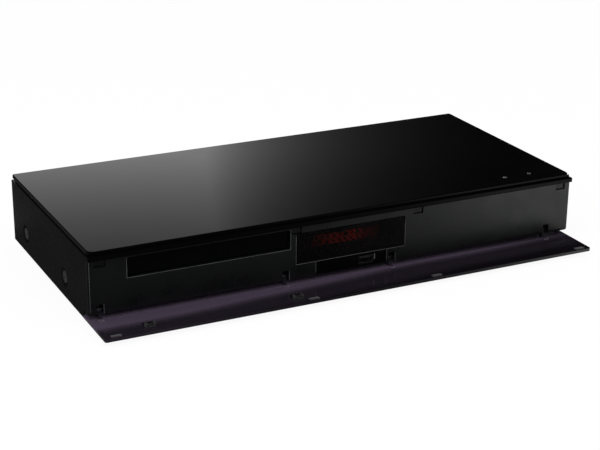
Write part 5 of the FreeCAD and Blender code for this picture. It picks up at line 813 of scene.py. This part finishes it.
class PLAYER_OT_front_trims(bpy.types.Operator):
    """The front's edge highlight strips, the socket recess's painted shade and wall highlight, the top's edge band
    and the flap's ribs
    """

    bl_idname = "player.front_trims"
    bl_label = "Front trims"

    def execute(self, context):
        face = box_of("front_panel")[0].y
        window_left = box_of("display_window")[0].x
        recess = (window_left + RECESS_START, window_left + RECESS_END)
        self.make_edge_highlights(face, recess)
        self.make_recess_shade(face + RECESS_DEPTH, recess)
        self.make_band()
        self.make_ribs(face)
        return {"FINISHED"}

    def make_edge_highlights(self, face, recess):
        """Light strips that paint edge highlights round the tray opening, window, panel's left, recess and hinge
        slots.
        """
        wide, seam, proud, sunk = sizes().edge_width, 0.1, 0.12, 0.3
        beside, below, above = 0.75, 0.6, 0.7
        left, right, low, high = front_of("tray_front")
        left, right, low, high = left - beside, right + beside, low - below, high + above
        edges = [(left - wide, left, low - wide, high), (left, right, low - wide, low),
                 (right, right + wide, low - wide, high)]
        left, right, low, high = front_of("display_window")
        panel_left, _, panel_low, panel_high = front_of("front_panel")
        side, foot = panel_left + 1.25, panel_low + 3.0
        edges += [(left, right, low - wide - seam, low - seam),
                  (right + seam, right + seam + wide, low - seam, high - 4.0),
                  (left - seam - wide, left - seam, low - seam, high - 1.5),
                  (side, side + wide, foot + 0.2, panel_high - 1.0),
                  (recess[0] - wide, recess[0], foot, low - below),
                  (recess[1], recess[1] + wide, foot, low - below)]
        for x in hinge_places()[:3]:
            side = x + HINGE_SLOT_HALF
            edges.append((side, side + wide, HINGE_SLOT_LOW, HINGE_SLOT_HIGH))
        # The strips' light grey paints the highlights that the edges catch
        boxes = [((left, face - proud, low), (right, face + sunk, high)) for left, right, low, high in edges]
        box_piece("front_edges", boxes, 0.08, "painted_edge_highlight")

    def make_recess_shade(self, floor, recess):
        """A dark sheet that paints shade on the recess floor round the socket, and a light strip at the socket's
        right that paints the highlight on its inner wall.
        """
        left, right, low, high = front_of("usb_socket")
        hole = (left - 0.5, right + 0.5)
        z = (box_of("front_panel")[0].z + 0.6, box_of("display_window")[0].z - 0.5)
        plates = ((recess[0] + 0.2, hole[0], *z), (hole[1], recess[1] - 0.2, *z),
                  (*hole, z[0], low - 0.5), (*hole, high + 0.5, z[1]))
        # A dark sheet on the recess floor: painted shade
        boxes = [((x0, floor - 0.08, z0), (x1, floor + 0.05, z1)) for x0, x1, z0, z1 in plates]
        box_piece("recess_inlay", boxes, 0.02, "front_painted_shade")
        # A light strip at the socket's right: painted highlight on the socket's inner wall
        wall_highlight = ((right + 0.7, floor - 0.5, low + 2.2), (right + 1.1, floor + 0.1, high + 0.9))
        box_piece("socket_guide", [wall_highlight], 0.08, "painted_highlight_grey")

    def make_band(self):
        """The polished band along the top plate's front edge."""
        low, high = box_of("top_plate")
        end, proud = 1.2, 0.1
        band = ((low.x + end, low.y - proud, high.z - 2.3), (high.x - end, low.y + proud, high.z - 0.35))
        box_piece("top_edge_band", [band], 0.04, "lip_gloss")

    def make_ribs(self, face):
        """A U of moulded ribs on the flap in front of every hinge, whose light grey paints the highlight they
        catch.
        """
        wide, half, near, far = 0.35, 1.9, face - 0.6, face - 3.2
        top = box_of("flap")[1].z
        ribs = [((x + left, far, top - 0.1), (x + right, back, top + 0.2)) for x in hinge_places()
                for left, right, back in ((-half, wide - half, near), (half - wide, half, near),
                                          (-half, half, far + wide))]
        box_piece("flap_ribs", ribs, 0.05, "painted_highlight_grey", "flap")


class PLAYER_OT_touch_marks(bpy.types.Operator):
    """Generic open and power marks over the two touch keys"""

    bl_idname = "player.touch_marks"
    bl_label = "Touch marks"

    def execute(self, context):
        y = box_of("touch_board")[0].y + 7.0
        x, half = OPEN_KEY, 1.9
        outlines = [[(x - half, y - 0.1), (x + half, y - 0.1), (x, y + 1.7)],
                    rectangle(x - half, x + half, y - 1.2, y - 0.7)]
        x, steps, gap = POWER_KEY, 40, math.radians(32)
        arc = [gap + (2 * math.pi - 2 * gap) * step / steps for step in range(steps + 1)]
        outer = [(x + 1.6 * math.sin(a), y + 1.6 * math.cos(a)) for a in arc]
        inner = [(x + 1.2 * math.sin(a), y + 1.2 * math.cos(a)) for a in arc[::-1]]
        outlines += [(outer + inner)[::-1], rectangle(x - 0.2, x + 0.2, y + 0.3, y + 1.9)]
        thick = 0.02
        place = Matrix.Translation((0, 0, box_of("top_plate")[1].z - thick / 2))
        shape = bmesh.new()
        for outline in outlines:
            add_prism(shape, outline, place, thick)
        mesh_piece("touch_marks", shape, "mark_grey")
        return {"FINISHED"}


class PLAYER_OT_sockets(bpy.types.Operator):
    """Tongues and contacts inside the sockets, and the inlet's pins"""

    bl_idname = "player.sockets"
    bl_label = "Socket insides"

    def execute(self, context):
        tongues, contacts = bmesh.new(), bmesh.new()
        self.fill_front_socket(tongues, contacts)
        self.fill_video_sockets(tongues, contacts)
        self.fill_network_socket(contacts)
        self.fill_coax_socket(contacts)
        mesh_piece("socket_tongues", tongues, "socket_black", 30)
        mesh_piece("socket_contacts", contacts, "contact_gold", 30)
        self.make_inlet_pins()
        return {"FINISHED"}

    def fill_front_socket(self, tongues, contacts):
        """A tongue under the shell's roof, with four wide contacts below it."""
        low, high = box_of("usb_socket")
        top, pitch = high.z - 0.5, 2.1
        add_box(tongues, (low.x + 1.4, low.y + 1.2, top - 1.9), (high.x - 1.4, high.y - 0.4, top), 0.15)
        for index in range(4):
            x = low.x + 3.4 + index * pitch
            add_box(contacts, (x - 0.5, low.y + 1.6, top - 2.05), (x + 0.5, high.y - 3.0, top - 1.8), 0.04)

    def fill_video_sockets(self, tongues, contacts):
        """A tongue in the middle of each shell, with ten contacts above it and ten below."""
        low, high = box_of("hdmi_sockets")
        z, half_shell, half, pitch = (low.z + high.z) / 2, 7.5, 0.22, 1.0
        for x in (low.x + half_shell, high.x - half_shell):
            add_box(tongues, (x - 5.4, low.y + 0.6, z - 0.55), (x + 5.4, high.y - 1.2, z + 0.55), 0.12)
            for index in range(10):
                place = x - 4.5 + index * pitch
                for start, end in ((0.5, 0.62), (-0.62, -0.5)):
                    add_box(contacts, (place - half, low.y + 2.0, z + start),
                            (place + half, high.y - 1.6, z + end))

    def fill_network_socket(self, contacts):
        """Eight sloping wires that rise towards the mouth."""
        low, high = box_of("lan_socket")
        mouth, root, wire, pitch = high.y - 5.0, high.y - 13.6, 0.44, 1.02
        outline = [(root, low.z + 2.4), (mouth, low.z + 5.2), (mouth, low.z + 5.5), (root, low.z + 2.8)]
        for index in range(8):
            x = (low.x + high.x) / 2 - 3.5 * pitch + index * pitch
            place = Matrix(((0, 0, 1, x - wire / 2), (1, 0, 0, 0), (0, 1, 0, 0), (0, 0, 0, 1)))
            add_prism(contacts, outline, place, wire)

    def fill_coax_socket(self, contacts):
        """The centre contact, a short tube."""
        low, high = box_of("coax_socket")
        place = Matrix.Translation(((low.x + high.x) / 2, high.y - 1.5, low.z + 12.0))
        outer, bore = 1.55, 1.2
        add_turned(contacts, [(0, -4.0), (outer, -4.0), (outer, 1.2), (bore, 1.3), (bore, -1.0), (0, -1.0)],
                   place @ BACKWARDS, 24)

    def make_inlet_pins(self):
        """The two round-ended pins of the mains inlet."""
        low, high = box_of("ac_inlet")
        radius, reach = 1.28, 9.35
        pins = bmesh.new()
        for side in (-1, 1):
            x = (low.x + high.x) / 2 + 4.3 * side
            place = Matrix.Translation((x, high.y - 11.2, (low.z + high.z) / 2))
            add_turned(pins, [(0, 0), (radius, 0), (radius, reach - 0.65), (1.0, reach - 0.1), (0.5, reach),
                              (0, reach)], place @ BACKWARDS, 24)
        mesh_piece("inlet_pins", pins, "bright_steel", 40)


def grid_places(node, pitch, margin, blocked, height):
    """Places for small parts on a board, clear of the rectangles that larger parts take."""
    low, high = box_of(node)
    gap, places, row = 3, [], 0
    y = low.y + margin
    while y < high.y - margin:
        x = low.x + margin + (pitch / 2 if row % 2 else 0)
        while x < high.x - margin:
            taken = any(left - gap < x < right + gap and near - gap < y < far + gap
                        for left, right, near, far in blocked)
            # Fixed sums leave a third of the places bare and turn half of the parts
            if not taken and int(x * 7.3 + y * 3.1) % 3:
                turn = math.pi / 2 if int(x * 1.7 + y * 2.3) % 2 else 0.0
                places.append(((x, y, height), (0, 0, turn)))
            x += pitch
        y += pitch * 0.8
        row += 1
    return places


def footprint(*names):
    """Where nodes stand on a board, as rectangles."""
    boxes = [box_of(name) for name in names]
    return [(low.x, high.x, low.y, high.y) for low, high in boxes]


class PLAYER_OT_small_parts(bpy.types.Operator):
    """Small surface parts on the main and power boards"""

    bl_idname = "player.small_parts"
    bl_label = "Small board parts"

    def execute(self, context):
        seed = sizes().chip_seed
        chip = bmesh.new()
        add_box(chip, (-1.0, -0.6, 0.0), (1.0, 0.6, 0.8), 0.1)
        for left, right in ((-1.25, -0.9), (0.9, 1.25)):
            add_box(chip, (left, -0.55, 0.0), (right, 0.55, 0.6), 0.05)
        blocked = footprint("heatsink", "chips", "hdmi_sockets", "lan_socket", "coax_socket",
                            "front_cable", "power_cable", "drive_cable")
        places = grid_places("main_board", 6.5, 5.0, blocked, box_of("main_board")[1].z)
        repeated("main_board_parts", chip, places, "chip_black", 30.0, spread=0.3, seed=seed)
        part = bmesh.new()
        add_turned(part, [(0, 0), (0.9, 0), (1.1, 0.4), (1.1, 2.6), (0.9, 3.0), (0, 3.0)], steps=16)
        blocked = footprint("transformer", "choke", "ac_inlet", "fan_frame", "power_cable")
        left, right, near, far = footprint("capacitors")[0]
        large, small = 22, 16
        blocked += [(left, right, near, near + large), (left, right, far - small, far)]
        places = grid_places("power_board", 9.0, 8.0, blocked, box_of("power_board")[1].z)
        repeated("power_board_parts", part, places, "coil_wire", 30.0, spread=0.3, seed=seed + 1)
        return {"FINISHED"}


class PLAYER_OT_windings(bpy.types.Operator):
    """Copper turns round the filter coil's ring"""

    bl_idname = "player.windings"
    bl_label = "Windings"

    def execute(self, context):
        low, high = box_of("choke")
        middle = Vector(((low.x + high.x) / 2, (low.y + high.y) / 2, high.z - 3.8))
        core, reach, wire, square = 7.5, 4.25, 0.42, 0.45
        steps, sides = 24, 6
        loop = bmesh.new()
        rows = []
        for _, across, up in around(steps):
            centre = Vector((core + reach * math.copysign(abs(across) ** square, across), 0.0,
                             reach * math.copysign(abs(up) ** square, up)))
            out = Vector((across, 0.0, up))
            rows.append([loop.verts.new(centre + wire * (outward * out + Vector((0, sideways, 0))))
                         for _, outward, sideways in around(sides)])
        for lower, upper in zip(rows, rows[1:] + rows[:1]):
            join_rings(loop, lower, upper)
        turns = sizes().winding_turns
        places = [(middle, (0, 0, 2 * math.pi * turn / turns)) for turn in range(turns)]
        repeated("coil_turns", loop, places, "coil_wire", 60.0)
        return {"FINISHED"}


class PLAYER_OT_sled_screw(bpy.types.Operator):
    """The sled screw with its thread, in place of the plain rod"""

    bl_idname = "player.sled_screw"
    bl_label = "Sled screw"

    def execute(self, context):
        low, high = box_of("lead_screw")
        axis = Vector(joints["lead_screw_spin"]["axis"]).normalized()
        centre = Vector(joints["lead_screw_spin"]["pos_m"]) / MM
        radius, depth, flat_crest, plain_end = 1.5, 0.38, 1.8, 4.0
        length = (high.y - low.y - 2 * radius * abs(axis.z)) / axis.y
        start = centre + axis * (((low.y + high.y) / 2 - centre.y) / axis.y - length / 2)
        side = axis.cross(Vector((1, 0, 0))).normalized()
        pitch = sizes().thread_pitch
        steps, per_turn = 24, 12
        rings = int(length / pitch * per_turn)
        shape = bmesh.new()
        rows = []
        for ring in range(rings + 1):
            along = length * ring / rings
            row = []
            for share, across, up in around(steps):
                crest = 1.0 - abs(2 * ((along / pitch - share) % 1.0) - 1.0)
                r = radius - depth + depth * min(1.0, crest * flat_crest)
                if min(along, length - along) < plain_end:
                    r = radius
                out = Vector((1, 0, 0)) * across + side * up
                row.append(shape.verts.new(start + axis * along + out * r))
            rows.append(row)
        shape.faces.new(rows[0][::-1])
        for lower, upper in zip(rows, rows[1:]):
            join_rings(shape, lower, upper)
        shape.faces.new(rows[-1])
        piece = mesh_piece("threaded_screw", shape, "bright_steel", 40, "lead_screw")
        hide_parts("lead_screw")
        return {"FINISHED"}


def area_light(name, place, aim, size, power):
    """A square lamp that lights the player and isn't seen in its gloss."""
    light = bpy.data.lights.new(name, "AREA")
    light.size = size
    light.energy = power
    lamp = linked(name, light)
    lamp.location = place
    lamp.rotation_euler = (Vector(aim) - Vector(place)).to_track_quat("-Z", "Y").to_euler()
    lamp.visible_glossy = False


class PLAYER_OT_stage(bpy.types.Operator):
    """A plain white floor, soft light and the photograph's camera"""

    bl_idname = "player.stage"
    bl_label = "Stage"

    def execute(self, context):
        settings = context.scene.player_stage
        context.scene.view_settings.view_transform = "Standard"
        self.make_floor()
        self.make_world(context)
        area_light("Key light", (-1.1, -0.9, 1.4), (-0.05, 0, 0), 1.4, settings.key_power)
        area_light("Fill light", (0.8, -1.2, 1.3), (0, 0, 0), 1.2, settings.fill_power)
        camera = linked("Camera", bpy.data.cameras.new("Camera"))
        camera.data.lens = settings.lens
        camera.data.sensor_width = 36.0
        camera.location = CAMERA_PLACE
        turn = (Vector(CAMERA_AIM) - Vector(CAMERA_PLACE)).to_track_quat("-Z", "Y").to_matrix().to_4x4()
        camera.rotation_euler = (turn @ Matrix.Rotation(math.radians(CAMERA_ROLL), 4, "Z")).to_euler()
        context.scene.camera = camera
        return {"FINISHED"}

    def make_floor(self):
        """A floor that renders white to the eye and still takes the player's shadow."""
        shape = bmesh.new()
        bmesh.ops.create_grid(shape, x_segments=1, y_segments=1, size=6.0)
        mesh = bpy.data.meshes.new("Floor")
        shape.to_mesh(mesh)
        shape.free()
        floor = linked("Floor", mesh)
        finish = Finish("Floor", (0.95, 0.95, 0.95), 0.9)
        x, y, _ = finish.axes()
        # Gloss sees the floor brighten in front of the player's right, and behind the player
        ahead = finish.calc("EXPONENT", finish.calc("MULTIPLY", finish.calc("SUBTRACT", x, 0.235), 11.0))
        ahead = finish.calc("MINIMUM", ahead, finish.line(y, -12.0, -0.72))
        behind = finish.calc("MINIMUM", finish.line(y, 6.0, -0.78), finish.line(x, 20.0, 4.8))
        mirrored = finish.limited(finish.calc("MAXIMUM", ahead, behind), 0.05)
        seen, gloss = finish.rays()
        glow = finish.add("ShaderNodeEmission")
        finish.join(finish.calc("MULTIPLY_ADD", gloss, mirrored, seen), glow.inputs["Strength"])
        mix = finish.add("ShaderNodeMixShader")
        finish.join(finish.calc("MAXIMUM", finish.calc("MULTIPLY", seen, 0.93), gloss), mix.inputs[0])
        finish.join(finish.shader.outputs["BSDF"], mix.inputs[1])
        finish.join(glow.outputs[0], mix.inputs[2])
        finish.join(mix.outputs[0], finish.end.inputs["Surface"])
        mesh.materials.append(finish.material)

    def make_world(self, context):
        """White behind the player; gloss sees it fade to dark towards the right and overhead."""
        context.scene.world = bpy.data.worlds.new("Studio")
        context.scene.world.use_nodes = True
        tree = Tree(context.scene.world.node_tree)
        split = tree.add("ShaderNodeSeparateXYZ")
        tree.join(tree.add("ShaderNodeTexCoord").outputs["Generated"], split.inputs[0])
        x, y, z = split.outputs
        rightwards = tree.limited(tree.line(x, -31.0, 11.3), -9.0, 0.0)
        overhead = tree.limited(tree.line(z, -22.0, 6.8), -9.0, 0.0)
        fade = tree.calc("EXPONENT", tree.calc("ADD", rightwards, overhead))
        for side in (tree.line(x, 2.9, 0.43), tree.calc("MULTIPLY", y, 3.3)):
            fade = tree.calc("MULTIPLY", fade, tree.limited(side))
        fade = tree.calc("MAXIMUM", fade, 0.005)
        seen, gloss = tree.rays()
        other = tree.calc("SUBTRACT", 1.0, tree.calc("MAXIMUM", seen, gloss))
        strength = tree.calc("MULTIPLY_ADD", gloss, fade, seen)
        strength = tree.calc("MULTIPLY_ADD", other, 0.78, strength)
        background = tree.add("ShaderNodeBackground", Color=(1.0, 1.0, 1.0, 1.0))
        tree.join(strength, background.inputs["Strength"])
        tree.join(background.outputs[0], tree.add("ShaderNodeOutputWorld").inputs["Surface"])


OPERATORS = (PLAYER_OT_finishes, PLAYER_OT_feet, PLAYER_OT_screws, PLAYER_OT_display,
             PLAYER_OT_front_trims, PLAYER_OT_touch_marks, PLAYER_OT_sockets, PLAYER_OT_small_parts,
             PLAYER_OT_windings, PLAYER_OT_sled_screw, PLAYER_OT_stage)


class PLAYER_PT_looks(bpy.types.Panel):
    """The player's settings and the steps that make its looks"""

    bl_label = "Disc player"
    bl_idname = "PLAYER_PT_looks"
    bl_space_type = "VIEW_3D"
    bl_region_type = "UI"
    bl_category = "Disc player"

    def draw(self, context):
        for group in (context.scene.player_looks, context.scene.player_pieces, context.scene.player_stage):
            column = self.layout.column(align=True)
            for name in group.__annotations__:
                column.prop(group, name)
        for operator in OPERATORS:
            self.layout.operator(operator.bl_idname)


SETTINGS = {"player_looks": LooksSettings, "player_pieces": PieceSettings, "player_stage": StageSettings}


def register():
    for group in SETTINGS.values():
        bpy.utils.register_class(group)
    for name, group in SETTINGS.items():
        setattr(bpy.types.Scene, name, bpy.props.PointerProperty(type=group))
    for thing in (*OPERATORS, PLAYER_PT_looks):
        bpy.utils.register_class(thing)


def unregister():
    for thing in (PLAYER_PT_looks, *OPERATORS[::-1]):
        bpy.utils.unregister_class(thing)
    for name, group in SETTINGS.items():
        delattr(bpy.types.Scene, name)
        bpy.utils.unregister_class(group)


def main():
    register()
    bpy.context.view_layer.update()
    for operator in OPERATORS:
        group, name = operator.bl_idname.split(".")
        getattr(getattr(bpy.ops, group), name)()


if __name__ == "__main__":
    main()
